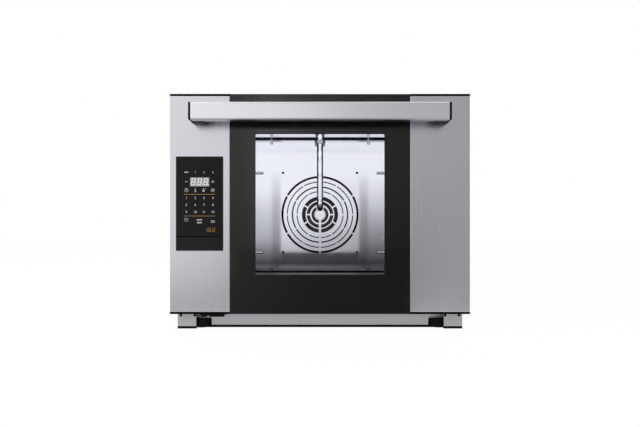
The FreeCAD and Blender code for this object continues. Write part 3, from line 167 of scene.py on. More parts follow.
# Screws of the corner shoes.
# Two small blackened steel screws hold each shoe, side by side at its upper edge,
# with a round socket in a low head.
shoe_low, shoe_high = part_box("corner_shoes")
screw_radius = 0.0026
screw_height = 0.0016
screw_drop = 0.0072
screw_at = (0.257, 0.2852)


def pick(thing, kind, test):
    # In edit mode: select the corners, edges or faces that pass the test, and no others.
    bpy.ops.mesh.select_mode(type=kind)
    bpy.ops.mesh.select_all(action="DESELECT")
    bpy.ops.object.mode_set(mode="OBJECT")
    mesh = thing.data
    for part in {"VERT": mesh.vertices, "EDGE": mesh.edges, "FACE": mesh.polygons}[kind]:
        part.select = test(part)
    bpy.ops.object.mode_set(mode="EDIT")


def socket_screw(name, radius, height):
    # One screw that looks upwards, with the middle of its head at the origin.
    edge_round = height * 0.45
    socket_wall = radius * 0.3
    socket_depth = height * 0.5
    bpy.ops.object.select_all(action="DESELECT")
    bpy.ops.mesh.primitive_cylinder_add(vertices=24, radius=radius, depth=height, location=(0, 0, 0))
    screw = bpy.context.object
    screw.name = name
    bpy.ops.object.mode_set(mode="EDIT")
    pick(screw, "FACE", lambda face: face.normal.z > 0.99)
    bpy.ops.mesh.bevel(offset=edge_round, segments=3, affect="EDGES")
    pick(screw, "FACE", lambda face: face.normal.z > 0.99)
    bpy.ops.mesh.inset(thickness=socket_wall)
    bpy.ops.mesh.extrude_region_move(TRANSFORM_OT_translate={"value": (0, 0, -socket_depth)})
    bpy.ops.object.mode_set(mode="OBJECT")
    bpy.ops.object.shade_smooth_by_angle(angle=math.radians(35))
    return screw


def spread(model, spots):
    # Copies of one finished model, each with its own mesh, moved and turned to its spot.
    copies = []
    for place, turn in spots:
        bpy.ops.object.select_all(action="DESELECT")
        model.select_set(True)
        bpy.context.view_layer.objects.active = model
        bpy.ops.object.duplicate()
        copied = bpy.context.object
        copied.location = place
        copied.rotation_euler = turn
        bpy.ops.object.transform_apply()
        copies.append(copied)
    bpy.data.objects.remove(model)
    return copies


def join(name, pieces):
    bpy.ops.object.select_all(action="DESELECT")
    for piece in pieces:
        piece.select_set(True)
    bpy.context.view_layer.objects.active = pieces[0]
    bpy.ops.object.join()
    bpy.context.object.name = name
    bpy.ops.object.transform_apply()
    return bpy.context.object


shoe_spots = []
for side in (-1, 1):
    for across in screw_at:
        spot = (side * across, shoe_low.y - screw_height / 2, shoe_high.z - screw_drop)
        shoe_spots.append((spot, (math.pi / 2, 0, 0)))
shoe_screw = socket_screw("shoe_screw", screw_radius, screw_height)
shoe_screws = join("shoe_screws", spread(shoe_screw, shoe_spots))
# Blackened steel: matt and nearly black, a little uneven.
black_oxide = sheet_steel("blackened_steel", "#171718", "#0B0B0C", (1, 1, 1), (0.45, 0.6), 0.1)
shoe_screws.data.materials.append(black_oxide)
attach(shoe_screws, "chassis")
dress(black_oxide, "deflector_screws")

# Cable guide, rails of the door, handle caps, control housing and terminal block.
# Injection-moulded black nylon, matt, with a fine spark-eroded grain from the tool.
black_plastic = moulded_black("moulded_nylon", "#0C0C10", "#131317", 0.6, (0.42, 0.55), 0.15, 0.1)
dress(black_plastic, "cable_guide", "control_housing", "terminal_block", "cable_gland")
# The rails and caps have a deeper grain, so they look blacker.
deep_black = moulded_black("deep_grained_nylon", "#020203", "#040405", 0.6, (0.5, 0.6), 0.05, 0.03)
dress(deep_black, "top_rail", "bottom_rail", "handle_end_caps")

# Outer skins: side panels, lid, rear panel and front frame.
# Stainless sheet folded at the edges and screwed to the pan; the sides have a vertical satin grain.
satin_steel = sheet_steel("satin_stainless", "#BDBDC0", "#ADADB0", (2.5, 2.5, 70), (0.3, 0.42), 0.06)
dress(satin_steel, "left_side_panel", "right_side_panel", "front_frame")
dress(mill_steel, "top_cover", "rear_panel")

# Screws of the outer skins.
# Stainless pan-head screws with a socket hold the rear panel round its edge
# and the sides along their foot.
rear_low, rear_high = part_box("rear_panel")
side_low, side_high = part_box("right_side_panel")
skin_screw_radius = 0.0042
skin_screw_height = 0.0024
skin_screw_edge = 0.013
rear_across = (-0.27, -0.09, 0.09, 0.27)
side_along = (side_low.y + 0.04, 0.0, 0.16, side_high.y - 0.03)
rear_up = (rear_low.z + skin_screw_edge, rear_high.z - skin_screw_edge)
rear_spots = [(x, z) for x in rear_across for z in rear_up]
rear_spots += [(x, (rear_low.z + rear_high.z) / 2) for x in (rear_across[0], rear_across[-1])]
rear_face = rear_high.y + skin_screw_height / 2
skin_spots = [((x, rear_face, z), (-math.pi / 2, 0, 0)) for x, z in rear_spots]
for side in (-1, 1):
    for along in side_along:
        spot = (side * (side_high.x + skin_screw_height / 2), along, side_low.z + skin_screw_edge)
        skin_spots.append((spot, (0, side * math.pi / 2, 0)))
skin_screw = socket_screw("skin_screw", skin_screw_radius, skin_screw_height)
skin_screws = join("skin_screws", spread(skin_screw, skin_spots))
skin_screws.data.materials.append(mill_steel)
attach(skin_screws, "chassis")

# Oven cavity: liner, fan deflector and its spacers.
# Bright-annealed stainless sheet, welded and rolled to rounded corners, so it mirrors what stands in it.
# Behind the deflector it is painted dark blue-grey, a heat tint and painted shade of the recess.
# The floor is painted a darker grey. A band near the front is darker and rougher still, a painted shadow of
# the door's lower edge.
bright_sheet = sheet_steel(
    "bright_annealed_stainless", "#F0F1F4", "#EBECEF", (120, 20, 20), (0.05, 0.09), 0.0,
)
# Each pair of places is where a mark begins to fade and where it ends.
floor_z = (0.0814, 0.083)
door_shadow_y = 0.066
door_shadow_fade = (0.012, 0.03)
tint_and_shade_y = (0.15, 0.158)
tint_and_shade_reach = 0.03


def axes(tree):
    # X, Y and Z on the piece, in metres.
    place = add(tree, "ShaderNodeTexCoord", {})
    return add(tree, "ShaderNodeSeparateXYZ", {"Vector": place.outputs["Object"]}).outputs


liner_steel = bright_sheet.copy()
liner_steel.name = "tinted_and_shaded_liner_stainless"
tree = liner_steel.node_tree
skin = tree.nodes["Principled BSDF"]
clean = skin.inputs["Base Color"].links[0].from_socket
sheet_rough = skin.inputs["Roughness"].links[0].from_socket
at = axes(tree)
low = add(
    tree, "ShaderNodeMapRange",
    {"Value": at["Z"], "From Min": floor_z[0], "From Max": floor_z[1], "To Min": 1.0, "To Max": 0.0},
).outputs[0]
# A painted shadow of the door's lower edge: a dark band across the floor near the front.
aside = add(tree, "ShaderNodeMath", {0: at["Y"], 1: door_shadow_y}, operation="SUBTRACT")
aside = add(tree, "ShaderNodeMath", {0: aside.outputs[0]}, operation="ABSOLUTE")
outside_door_shadow = add(
    tree, "ShaderNodeMapRange",
    {"Value": aside.outputs[0], "From Min": door_shadow_fade[0], "From Max": door_shadow_fade[1]},
).outputs[0]
floor_shade = add(
    tree, "ShaderNodeMix",
    {"Factor": outside_door_shadow, 6: colour("#2A2A2C"), 7: colour("#7C7D81")}, data_type="RGBA",
)
dulled = add(tree, "ShaderNodeMix", {"Factor": low, 6: clean, 7: floor_shade.outputs[2]}, data_type="RGBA")
# On the floor the dark blue-grey reaches further to the front, as painted shade in the gap under the
# deflector.
reach = add(tree, "ShaderNodeMath", {0: low, 1: tint_and_shade_reach, 2: at["Y"]}, operation="MULTIPLY_ADD")
behind = add(
    tree, "ShaderNodeMapRange", {"Value": reach.outputs[0], "From Min": tint_and_shade_y[0], "From Max": tint_and_shade_y[1]},
).outputs[0]
# Dark blue-grey behind the deflector: a heat tint and painted shade of the recess.
tinted_and_shaded = add(
    tree, "ShaderNodeMix", {"Factor": behind, 6: dulled.outputs[2], 7: colour("#1D1E24")}, data_type="RGBA",
)
tree.links.new(tinted_and_shaded.outputs[2], skin.inputs["Base Color"])
band_and_recess_rough = add(tree, "ShaderNodeMix", {"Factor": outside_door_shadow, "A": 0.8, "B": 0.2}, data_type="FLOAT")
band_and_recess_rough = add(
    tree, "ShaderNodeMix", {"Factor": behind, "A": band_and_recess_rough.outputs["Result"], "B": 0.8}, data_type="FLOAT",
)
worn = add(
    tree, "ShaderNodeMix",
    {"Factor": low, "A": sheet_rough, "B": band_and_recess_rough.outputs["Result"]}, data_type="FLOAT",
)
tree.links.new(worn.outputs["Result"], skin.inputs["Roughness"])
dress(liner_steel, "cavity_liner")
# The deflector's top edge is painted dark brown, a painted shade in the gap under the ceiling. Its lower
# edge is rubbed dull by cleaning, so it catches the light.
top_edge_shade_z = (0.4304, 0.4318)
rubbed_z = (0.0895, 0.091)
deflector_steel = sheet_steel(
    "satin_deflector_steel", "#E8E9EE", "#E3E4E9", (30, 30, 200), (0.06, 0.09), 0.0,
)
tree = deflector_steel.node_tree
skin = tree.nodes["Principled BSDF"]
clean = skin.inputs["Base Color"].links[0].from_socket
sheet_rough = skin.inputs["Roughness"].links[0].from_socket
height = axes(tree)["Z"]
edge = add(
    tree, "ShaderNodeMapRange", {"Value": height, "From Min": top_edge_shade_z[0], "From Max": top_edge_shade_z[1]},
)
# The top edge is painted dark as painted shade under the ceiling.
top_edge_shade = add(
    tree, "ShaderNodeMix", {"Factor": edge.outputs[0], 6: clean, 7: colour("#3A3735")}, data_type="RGBA",
)
tree.links.new(top_edge_shade.outputs[2], skin.inputs["Base Color"])
foot = add(
    tree, "ShaderNodeMapRange",
    {"Value": height, "From Min": rubbed_z[0], "From Max": rubbed_z[1], "To Min": 1.0, "To Max": 0.0},
)
rubbed = add(
    tree, "ShaderNodeMix", {"Factor": foot.outputs[0], "A": sheet_rough, "B": 0.6}, data_type="FLOAT",
)
tree.links.new(rubbed.outputs["Result"], skin.inputs["Roughness"])
dress(deflector_steel, "fan_deflector", "deflector_spacers")

# Mineral wool round the cavity.
# A blanket of stone fibre wrapped round the liner and a batt behind it, cut by knife and slit where
# pipes and posts pass; dull yellow-brown, with soft corners and a fluffed, uneven face.
wool_low, wool_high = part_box("insulation")
liner_low, liner_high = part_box("cavity_liner")
wool_corner = 0.044
wool_clear = 0.0006
wool_fluff = 0.0025
tuft_size = 0.03
wool_steps = 14


def wool_outline(name, y):
    # The rounded outline of the wool, as one face that looks to the front.
    bpy.ops.object.select_all(action="DESELECT")
    middle = (wool_low + wool_high) / 2
    spot = (middle.x, y, middle.z)
    bpy.ops.mesh.primitive_plane_add(size=1, location=spot, rotation=(math.pi / 2, 0, 0))
    batt = bpy.context.object
    batt.name = name
    batt.scale = (wool_high.x - wool_low.x, wool_high.z - wool_low.z, 1)
    bpy.ops.object.transform_apply()
    bpy.ops.object.mode_set(mode="EDIT")
    bpy.ops.mesh.select_all(action="SELECT")
    bpy.ops.mesh.bevel(offset=wool_corner, segments=8, affect="VERTICES")

    def straight(edge):
        first, last = [batt.data.vertices[k].co for k in edge.vertices]
        return (first - last).length > wool_corner

    pick(batt, "EDGE", straight)
    bpy.ops.mesh.subdivide(number_cuts=wool_steps)
    bpy.ops.mesh.select_mode(type="FACE")
    bpy.ops.mesh.select_all(action="SELECT")
    return batt


def pass_hole(spot, along, radius, length):
    # A round cutter for what passes through the wool.
    turn = (math.pi / 2, 0, 0) if along == "y" else (0, 0, 0)
    bpy.ops.object.select_all(action="DESELECT")
    bpy.ops.mesh.primitive_cylinder_add(
        vertices=24, radius=radius, depth=length, location=spot, rotation=turn
    )
    bpy.ops.object.transform_apply()
    return bpy.context.object


def slit(front, back, low, high):
    # A straight cut for the feed pipe, as wide as the pipe and its room.
    bpy.ops.object.select_all(action="DESELECT")
    bpy.ops.mesh.primitive_cube_add(size=1, location=(0, (front + back) / 2, (low + high) / 2))
    blade = bpy.context.object
    blade.scale = (2 * (feed_radius + pass_room), back - front, high - low)
    bpy.ops.object.transform_apply()
    return blade


def punch(batt, cutters):
    # Cut the holes one after the other, then let the fibres draw in by up to the fluff's depth.
    for cutter in cutters:
        knife = batt.modifiers.new("hole", "BOOLEAN")
        knife.object = cutter
        knife.operation = "DIFFERENCE"
        knife.solver = "EXACT"
        bpy.ops.object.select_all(action="DESELECT")
        batt.select_set(True)
        bpy.context.view_layer.objects.active = batt
        bpy.ops.object.modifier_apply(modifier=knife.name)
        bpy.data.objects.remove(cutter)
    tuft = bpy.data.textures.new("tufts", "CLOUDS")
    tuft.noise_scale = tuft_size
    fluff = batt.modifiers.new("fluff", "DISPLACE")
    fluff.texture = tuft
    fluff.texture_coords = "LOCAL"
    fluff.mid_level = 1.0
    fluff.strength = wool_fluff
    bpy.ops.object.modifier_apply(modifier=fluff.name)
    bpy.ops.object.shade_smooth_by_angle(angle=math.radians(50))


blanket = wool_outline("wool_blanket", wool_low.y + wool_clear)
bpy.ops.mesh.inset(thickness=liner_low.x - wool_low.x - wool_clear)
bpy.ops.mesh.delete(type="FACE")
bpy.ops.mesh.select_all(action="SELECT")
blanket_step = (liner_high.y - wool_low.y - wool_clear) / wool_steps
for k in range(wool_steps):
    bpy.ops.mesh.extrude_region_move(TRANSFORM_OT_translate={"value": (0, blanket_step, 0)})
bpy.ops.mesh.select_all(action="SELECT")
bpy.ops.mesh.normals_make_consistent(inside=False)
bpy.ops.object.mode_set(mode="OBJECT")
nut_low, nut_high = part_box("pipe_nut")
pipe_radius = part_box("steam_pipe")[1].x
feed_radius = -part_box("feed_pipe")[0].x
pipe_y = (nut_low.y + nut_high.y) / 2
pass_room = 0.002
lid_low = liner_high.z - wool_corner / 4
lid_high = wool_high.z + wool_corner / 4
lid_middle = (0, pipe_y, (lid_low + lid_high) / 2)
lid_hole = pass_hole(lid_middle, "z", pipe_radius + pass_room, lid_high - lid_low)
punch(blanket, [lid_hole, slit(pipe_y, wool_high.y, lid_low, lid_high)])

back_batt = wool_outline("back_batt", liner_high.y + wool_clear)
back_thick = wool_high.y - liner_high.y - 2 * wool_clear
bpy.ops.mesh.extrude_region_move(TRANSFORM_OT_translate={"value": (0, back_thick, 0)})
# Cuts a tuft apart give the flat face corners to fluff.
for normal, low, high in (((1, 0, 0), wool_low.x, wool_high.x), ((0, 0, 1), wool_low.z, wool_high.z)):
    cuts = int((high - low) / tuft_size)
    for k in range(1, cuts):
        along = low + (high - low) * k / cuts
        bpy.ops.mesh.select_all(action="SELECT")
        bpy.ops.mesh.bisect(plane_co=[n * along for n in normal], plane_no=normal)
bpy.ops.mesh.select_all(action="SELECT")
bpy.ops.mesh.normals_make_consistent(inside=False)
bpy.ops.object.mode_set(mode="OBJECT")
# Across, up and radius of what passes through the back: the fan's shaft, the exhaust pipe and the probe,
# then the heater's two ends and the motor's four posts.
fan_height = 0.233
tail_x = 0.107
tail_drop = 0.06
post_spread = 0.06
passages = [(0, fan_height, 0.018), (0.15, 0.4, 0.021), (-0.15, 0.39, 0.0095)]
for side in (-1, 1):
    passages.append((side * tail_x, fan_height - tail_drop, 0.006))
for side in (-1, 1):
    for rise in (-1, 1):
        passages.append((side * post_spread, fan_height + rise * post_spread, 0.0065))
back_middle = (liner_high.y + wool_high.y) / 2
back_reach = wool_high.y - liner_high.y
back_slit_low = liner_high.z + wool_corner / 8
punches = [pass_hole((x, back_middle, z), "y", radius, 2 * back_reach) for x, z, radius in passages]
punches.append(slit(back_middle - back_reach, back_middle + back_reach, back_slit_low, lid_high))
punch(back_batt, punches)
batts = join("wool_batts", [blanket, back_batt])
# Stone wool: bundles of fibre 8 mm long lie in layers of 1 mm, thicker than real fibre so that they show.
fibres_per_m = (120, 120, 900)
wool, tree = new_finish("stone_wool")
place = add(tree, "ShaderNodeTexCoord", {})
lay = add(tree, "ShaderNodeMapping", {"Vector": place.outputs["Object"], "Scale": fibres_per_m})
fibre = add(tree, "ShaderNodeTexNoise", {"Vector": lay.outputs["Vector"], "Scale": 1.0, "Detail": 8.0})
shade = add(
    tree, "ShaderNodeMix",
    {"Factor": fibre.outputs["Fac"], 6: colour("#8E7F55"), 7: colour("#CBBE94")}, data_type="RGBA",
)
tuft = add(tree, "ShaderNodeBump", {"Height": fibre.outputs["Fac"], "Strength": 0.8, "Distance": 0.002})
skin = add(
    tree, "ShaderNodeBsdfPrincipled",
    {"Base Color": shade.outputs[2], "Roughness": 0.95, "Normal": tuft.outputs["Normal"]},
)
add(tree, "ShaderNodeOutputMaterial", {"Surface": skin.outputs["BSDF"]})
batts.data.materials.append(wool)
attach(batts, "chassis")
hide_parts("insulation")

# Tray racks, rack studs, deflector hooks and the water pipe with its flange and nut.
# Drawn stainless rod and tube, bent, welded and electropolished, so it is as bright as chrome
# in the middle; its sides are painted dark, a painted reflection of the oven's dark corners.
bright_rod = sheet_steel("electropolished_rod", "#F2F4F8", "#E8EAEE", (3, 3, 3), (0.05, 0.1), 0.02)
tree = bright_rod.node_tree
skin = tree.nodes["Principled BSDF"]
middle = skin.inputs["Base Color"].links[0].from_socket
# The sides of each rod are painted dark by their angle to the eye: a painted reflection.
turned = add(tree, "ShaderNodeLayerWeight", {"Blend": 0.5})
sides = add(
    tree, "ShaderNodeMapRange", {"Value": turned.outputs["Facing"], "From Min": 0.1, "From Max": 0.32},
)
rod_shade = add(
    tree, "ShaderNodeMix", {"Factor": sides.outputs[0], 6: middle, 7: colour("#3A3C42")}, data_type="RGBA",
)
tree.links.new(rod_shade.outputs[2], skin.inputs["Base Color"])
dress(bright_rod, "left_tray_rack", "right_tray_rack", "rack_studs", "steam_pipe")
dress(bright_rod, "exhaust_pipe", "temperature_probe", "pipe_flange")
# Turned stainless: the tool leaves fine rings, so the nut looks greyer than the rod.
turned_steel = sheet_steel("turned_stainless", "#BCBEC3", "#A6A8AD", (2, 2, 0.6), (0.18, 0.28), 0.05)
dress(turned_steel, "pipe_nut")
# The hooks are pressed from the same steel and tumbled; their rounded edges are painted near black, a
# painted reflection of the dark gap beside them.
edge_radius = 0.003
rim_shaded_steel = turned_steel.copy()
rim_shaded_steel.name = "rim_shaded_stainless"
tree = rim_shaded_steel.node_tree
skin = tree.nodes["Principled BSDF"]
rounded = add(tree, "ShaderNodeBevel", {"Radius": edge_radius}, samples=6)
# The rims are painted near black: a painted reflection of the gap beside the hooks.
turned = add(tree, "ShaderNodeLayerWeight", {"Blend": 0.5, "Normal": rounded.outputs[0]})
rim = add(
    tree, "ShaderNodeMapRange", {"Value": turned.outputs["Facing"], "From Min": 0.01, "From Max": 0.08},
)
rim_shade = add(
    tree, "ShaderNodeMix",
    {"Factor": rim.outputs[0], 6: colour("#C4C6CA"), 7: colour("#1C1E22")}, data_type="RGBA",
)
tree.links.new(rim_shade.outputs[2], skin.inputs["Base Color"])
dress(rim_shaded_steel, "deflector_hooks")

# Feed pipe and water valve.
# Drawn copper pipe and a turned brass inlet, both dulled by handling.
copper = sheet_steel("drawn_copper", "#C0714C", "#9A5535", (5, 5, 40), (0.25, 0.4), 0.05)
dress(copper, "feed_pipe")
brass = sheet_steel("turned_brass", "#C7A352", "#A98538", (2, 0.8, 2), (0.22, 0.36), 0.08)
dress(brass, "water_valve")

# Fan wheel, nut, shaft, motor, heater and the zinc-plated fittings.
# Pressed and welded stainless wheel on a ground shaft; the motor is a finned casting and
# the heater's sheath has gone brown-grey with heat.
scorched_steel = sheet_steel("heat_darkened_stainless", "#5A5B62", "#34353A", (5, 5, 5), (0.35, 0.5), 0.1)
# The hub is turned and stays bright, so it glints in the innermost slots.
tree = scorched_steel.node_tree
skin = tree.nodes["Principled BSDF"]
scorched = skin.inputs["Base Color"].links[0].from_socket
hub_radius = 0.0172
place = add(tree, "ShaderNodeTexCoord", {})
axis = add(
    tree, "ShaderNodeMapping",
    {"Vector": place.outputs["Object"], "Location": (0, 0, -fan_height), "Scale": (1, 0, 1)},
)
reach = add(tree, "ShaderNodeVectorMath", {0: axis.outputs[0]}, operation="LENGTH")
hub = add(tree, "ShaderNodeMath", {0: reach.outputs["Value"], 1: hub_radius}, operation="LESS_THAN")
hub_shade = add(
    tree, "ShaderNodeMix", {"Factor": hub.outputs[0], 6: scorched, 7: colour("#D0D1D5")}, data_type="RGBA",
)
tree.links.new(hub_shade.outputs[2], skin.inputs["Base Color"])
dress(scorched_steel, "fan_wheel")
zinc = sheet_steel("zinc_plate", "#A9ACB0", "#8B8E93", (12, 12, 12), (0.32, 0.5), 0.08)
dress(zinc, "fan_nut", "motor_shaft", "motor_plate")
dress(zinc, "hinge_lugs", "hinge_pins", "hinge_cases", "glass_clips")
cast_alloy = sheet_steel("cast_aluminium", "#8E9093", "#7A7C80", (1.5, 1.5, 1.5), (0.5, 0.65), 0.3)
dress(cast_alloy, "motor_body")
dress(black_plastic, "cooling_impeller")
scaled_sheath = sheet_steel("heat_tinted_sheath", "#5A5048", "#3B3632", (9, 9, 9), (0.45, 0.6), 0.2)
dress(scaled_sheath, "heating_element")

# Circuit boards.
# Glass-fibre laminate under green solder mask, with the copper tracks just showing through.
board, tree = new_finish("solder_mask")
tracks_per_m = 350
place = add(tree, "ShaderNodeTexCoord", {})
track = add(
    tree, "ShaderNodeTexVoronoi", {"Vector": place.outputs["Object"], "Scale": tracks_per_m},
    distance="MANHATTAN", feature="F1",
)
shade = add(
    tree, "ShaderNodeMix",
    {"Factor": track.outputs["Distance"], 6: colour("#2C7A48"), 7: colour("#0F3D22")}, data_type="RGBA",
)
skin = add(
    tree, "ShaderNodeBsdfPrincipled", {"Base Color": shade.outputs[2], "Roughness": 0.35, "IOR": 1.5},
)
add(tree, "ShaderNodeOutputMaterial", {"Surface": skin.outputs["BSDF"]})
dress(board, "control_board", "power_board")

# Door: inner pan and the black surround.
# The pan is pressed from bright stainless sheet; the surround is enamelled black behind the outer glass.
dress(bright_sheet, "inner_panel")
black_enamel = moulded_black("black_enamel", "#0A0A12", "#0D0D15", 30.0, (0.05, 0.09), 0.0, 0.5)
dress(black_enamel, "window_surround")

# Panes of the door.
# Toughened float glass with a coating that stops most of the reflection, so the oven shows clearly
# through it; the coating's low index is given to the whole pane. Wiping leaves marks a hand wide.
wipes_per_m = 12
clear_glass, tree = new_finish("toughened_glass")
place = add(tree, "ShaderNodeTexCoord", {})
wiping = add(
    tree, "ShaderNodeTexNoise", {"Vector": place.outputs["Object"], "Scale": wipes_per_m, "Detail": 4.0},
)
rough = add(
    tree, "ShaderNodeMapRange",
    {"Value": wiping.outputs["Fac"], "From Min": 0.4, "From Max": 0.8, "To Min": 0.0, "To Max": 0.02},
)
skin = add(
    tree, "ShaderNodeBsdfPrincipled",
    {
        "Base Color": colour("#FDFDFE"), "Roughness": rough.outputs["Result"],
        "IOR": 1.1, "Transmission Weight": 1.0,
    },
)
add(tree, "ShaderNodeOutputMaterial", {"Surface": skin.outputs["BSDF"]})
dress(clear_glass, "inner_glass")
# The outer pane has that coating in the window alone; over the black surround its bare face mirrors
# the room.
window_half = 0.1293
window_z = (0.1125, 0.3952)
front_glass = clear_glass.copy()
front_glass.name = "toughened_front_glass"
tree = front_glass.node_tree
at = axes(tree)
across = add(tree, "ShaderNodeMath", {0: at["X"]}, operation="ABSOLUTE")
beside = add(tree, "ShaderNodeMath", {0: across.outputs[0], 1: window_half}, operation="GREATER_THAN")
above = add(tree, "ShaderNodeMath", {0: at["Z"], 1: window_z[1]}, operation="GREATER_THAN")
below = add(tree, "ShaderNodeMath", {0: at["Z"], 1: window_z[0]}, operation="LESS_THAN")
border = add(tree, "ShaderNodeMath", {0: beside.outputs[0], 1: above.outputs[0]}, operation="MAXIMUM")
border = add(tree, "ShaderNodeMath", {0: border.outputs[0], 1: below.outputs[0]}, operation="MAXIMUM")
skin = tree.nodes["Principled BSDF"]
skin.inputs["Coat Roughness"].default_value = 0.02
tree.links.new(border.outputs[0], skin.inputs["Coat Weight"])
dress(front_glass, "outer_glass")

# Light bars behind the black border.
# A white diffuser over a row of cold-white diodes, clipped behind the surround.
lamp, tree = new_finish("lamp_diffuser")
diode_pitch_mm = 12
place = add(tree, "ShaderNodeTexCoord", {})
row = add(
    tree, "ShaderNodeMapping",
    {"Vector": place.outputs["Object"], "Scale": (0, 0, 1000 / diode_pitch_mm)},
)
spots = add(tree, "ShaderNodeTexWave", {"Vector": row.outputs["Vector"], "Scale": 0.5}, bands_direction="Z")
glow = add(tree, "ShaderNodeMapRange", {"Value": spots.outputs["Fac"], "To Min": 5.0, "To Max": 9.0})
skin = add(
    tree, "ShaderNodeBsdfPrincipled",
    {
        "Base Color": colour("#F2F4F8"), "Roughness": 0.4,
        "Emission Color": colour("#EEF3FF"), "Emission Strength": glow.outputs["Result"],
    },
)
add(tree, "ShaderNodeOutputMaterial", {"Surface": skin.outputs["BSDF"]})
dress(lamp, "door_lamps")

# Door covers at each side of the glass.
# Stainless sheet with a vertical brushed grain; the real lines are about 0.1 mm apart and
# are drawn 1.6 mm wide so that they show.
brushed_steel = sheet_steel("brushed_stainless", "#D6D5DC", "#C6C5CC", (1.6, 1.6, 160), (0.24, 0.28), 0.02)
dress(brushed_steel, "left_door_cover", "right_door_cover")

# Handle bar and its brackets.
# Satin anodised aluminium extrusion with black caps, on two tapered dark grey brackets.
satin_alloy = sheet_steel(
    "satin_anodised_aluminium", "#E2E1E8", "#DDDCE3", (70, 1.5, 1.5), (0.28, 0.3), 0.01,
)
# The rear of the bar, which faces the door, is left rough from the blasting.
bar_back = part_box("handle_bar")[1].y
blast_fade = (0.001, 0.0002)
tree = satin_alloy.node_tree
skin = tree.nodes["Principled BSDF"]
satin = skin.inputs["Roughness"].links[0].from_socket
rear = add(
    tree, "ShaderNodeMapRange",
    {
        "Value": axes(tree)["Y"],
        "From Min": bar_back - blast_fade[0], "From Max": bar_back - blast_fade[1],
    },
)
blasted = add(tree, "ShaderNodeMix", {"Factor": rear.outputs[0], "A": satin, "B": 0.9}, data_type="FLOAT")
tree.links.new(blasted.outputs["Result"], skin.inputs["Roughness"])
dress(satin_alloy, "handle_bar")
grey_paint = moulded_black("dark_grey_powder_coat", "#161617", "#1E1E20", 0.7, (0.4, 0.5), 0.15, 0.2)
dress(grey_paint, "handle_brackets")

# Control panel: glass and lower cover.
# Smoked acrylic, polished, with the faint smears of fingers, and a lower cover of polished black ABS.
panel_glass = moulded_black("smoked_acrylic", "#151213", "#1A1718", 40.0, (0.1, 0.2), 0.0, 0.13)
dress(panel_glass, "control_glass", "display_module")
cover_plastic = moulded_black("polished_abs", "#1A1A1C", "#1F1F21", 40.0, (0.12, 0.22), 0.0, 0.13)
dress(cover_plastic, "control_lower_cover")

# Printed and lit marks of the control panel.
# Thin prints and lit windows on the panel's face: a three-figure display, plain numbers,
# simple signs, two amber lines with a small amber display, and a black rim.
panel_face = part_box("control_glass")[0].y
print_thick = 0.0002
print_y = panel_face - print_thick / 2
columns = (-0.2668, -0.2490, -0.2318, -0.2140)
panel_middle = -0.2408


def place_flat(mark, name):
    # Give a flat mark its place and the print's thickness.
    mark.name = name
    bpy.ops.object.transform_apply()
    body = mark.modifiers.new("thickness", "SOLIDIFY")
    body.thickness = print_thick
    body.offset = 0
    bpy.ops.object.modifier_apply(modifier=body.name)
    return mark


def flat_plate(x, z, width, height, turn, corner):
    # An upright plate with round corners.
    bpy.ops.object.select_all(action="DESELECT")
    bpy.ops.mesh.primitive_plane_add(size=1, location=(x, print_y, z), rotation=(math.pi / 2, turn, 0))
    mark = bpy.context.object
    mark.scale = (width, height, 1)
    bpy.ops.object.transform_apply(location=False, rotation=False, scale=True)
    bpy.ops.object.mode_set(mode="EDIT")
    bpy.ops.mesh.select_all(action="SELECT")
    bpy.ops.mesh.bevel(offset=corner, segments=2, affect="VERTICES")
    bpy.ops.object.mode_set(mode="OBJECT")
    bpy.ops.object.transform_apply()
    return mark


def flat_bar(x, z, width, height, turn=0.0, point=0.3):
    return place_flat(flat_plate(x, z, width, height, turn, min(width, height) * point), "bar")


def flat_rim(x, z, width, height, bar, ends):
    # A plate cut along the rim's inner edges and emptied in the middle, closed at the ends given.
    corner = bar * 0.3
    mark = flat_plate(x, z, width, height, 0.0, corner)
    inner_x = width / 2 - bar
    inner_z = height / 2 - bar
    cuts = [((x + side * inner_x, 0, 0), (1, 0, 0)) for side in (-1, 1)]
    cuts += [((0, 0, z + end * inner_z), (0, 0, 1)) for end in ends]
    bpy.ops.object.mode_set(mode="EDIT")
    for spot, normal in cuts:
        bpy.ops.mesh.select_all(action="SELECT")
        bpy.ops.mesh.bisect(plane_co=spot, plane_no=normal)

    def inside(face):
        across, up = face.center.x - x, face.center.z - z
        return abs(across) < inner_x and all(end * up < inner_z for end in ends)

    pick(mark, "FACE", inside)
    bpy.ops.mesh.delete(type="FACE")
    bpy.ops.object.mode_set(mode="OBJECT")
    return place_flat(mark, "rim")


def flat_ring(x, z, radius, width):
    # A disc inset and emptied in the middle.
    bpy.ops.object.select_all(action="DESELECT")
    bpy.ops.mesh.primitive_circle_add(
        vertices=32, radius=radius, fill_type="NGON", location=(x, print_y, z), rotation=(math.pi / 2, 0, 0)
    )
    bpy.ops.object.mode_set(mode="EDIT")
    bpy.ops.mesh.select_all(action="SELECT")
    bpy.ops.mesh.inset(thickness=width)
    bpy.ops.mesh.delete(type="FACE")
    bpy.ops.object.mode_set(mode="OBJECT")
    return place_flat(bpy.context.object, "ring")


def flat_drop(x, z, radius, tall):
    # A disc whose upper rows of corners are drawn up and together, one row after the other.
    pinch = 0.75
    bpy.ops.object.select_all(action="DESELECT")
    bpy.ops.mesh.primitive_circle_add(vertices=24, radius=radius, fill_type="NGON", location=(0, 0, 0))
    mark = bpy.context.object
    heights = [round(corner.co.y / radius, 3) for corner in mark.data.vertices]
    rows = {height for height in heights if height > 0.01}
    bpy.ops.object.mode_set(mode="EDIT")
    for row in sorted(rows, reverse=True):
        pick(mark, "VERT", lambda corner: abs(corner.co.y / radius - row) < 0.01)
        bpy.ops.transform.resize(value=(1 - pinch * row, 1, 1))
        bpy.ops.transform.translate(value=(0, row * row * tall, 0))
    bpy.ops.object.mode_set(mode="OBJECT")
    mark.location = (x, print_y, z)
    mark.rotation_euler = (math.pi / 2, 0, 0)
    return place_flat(mark, "drop")


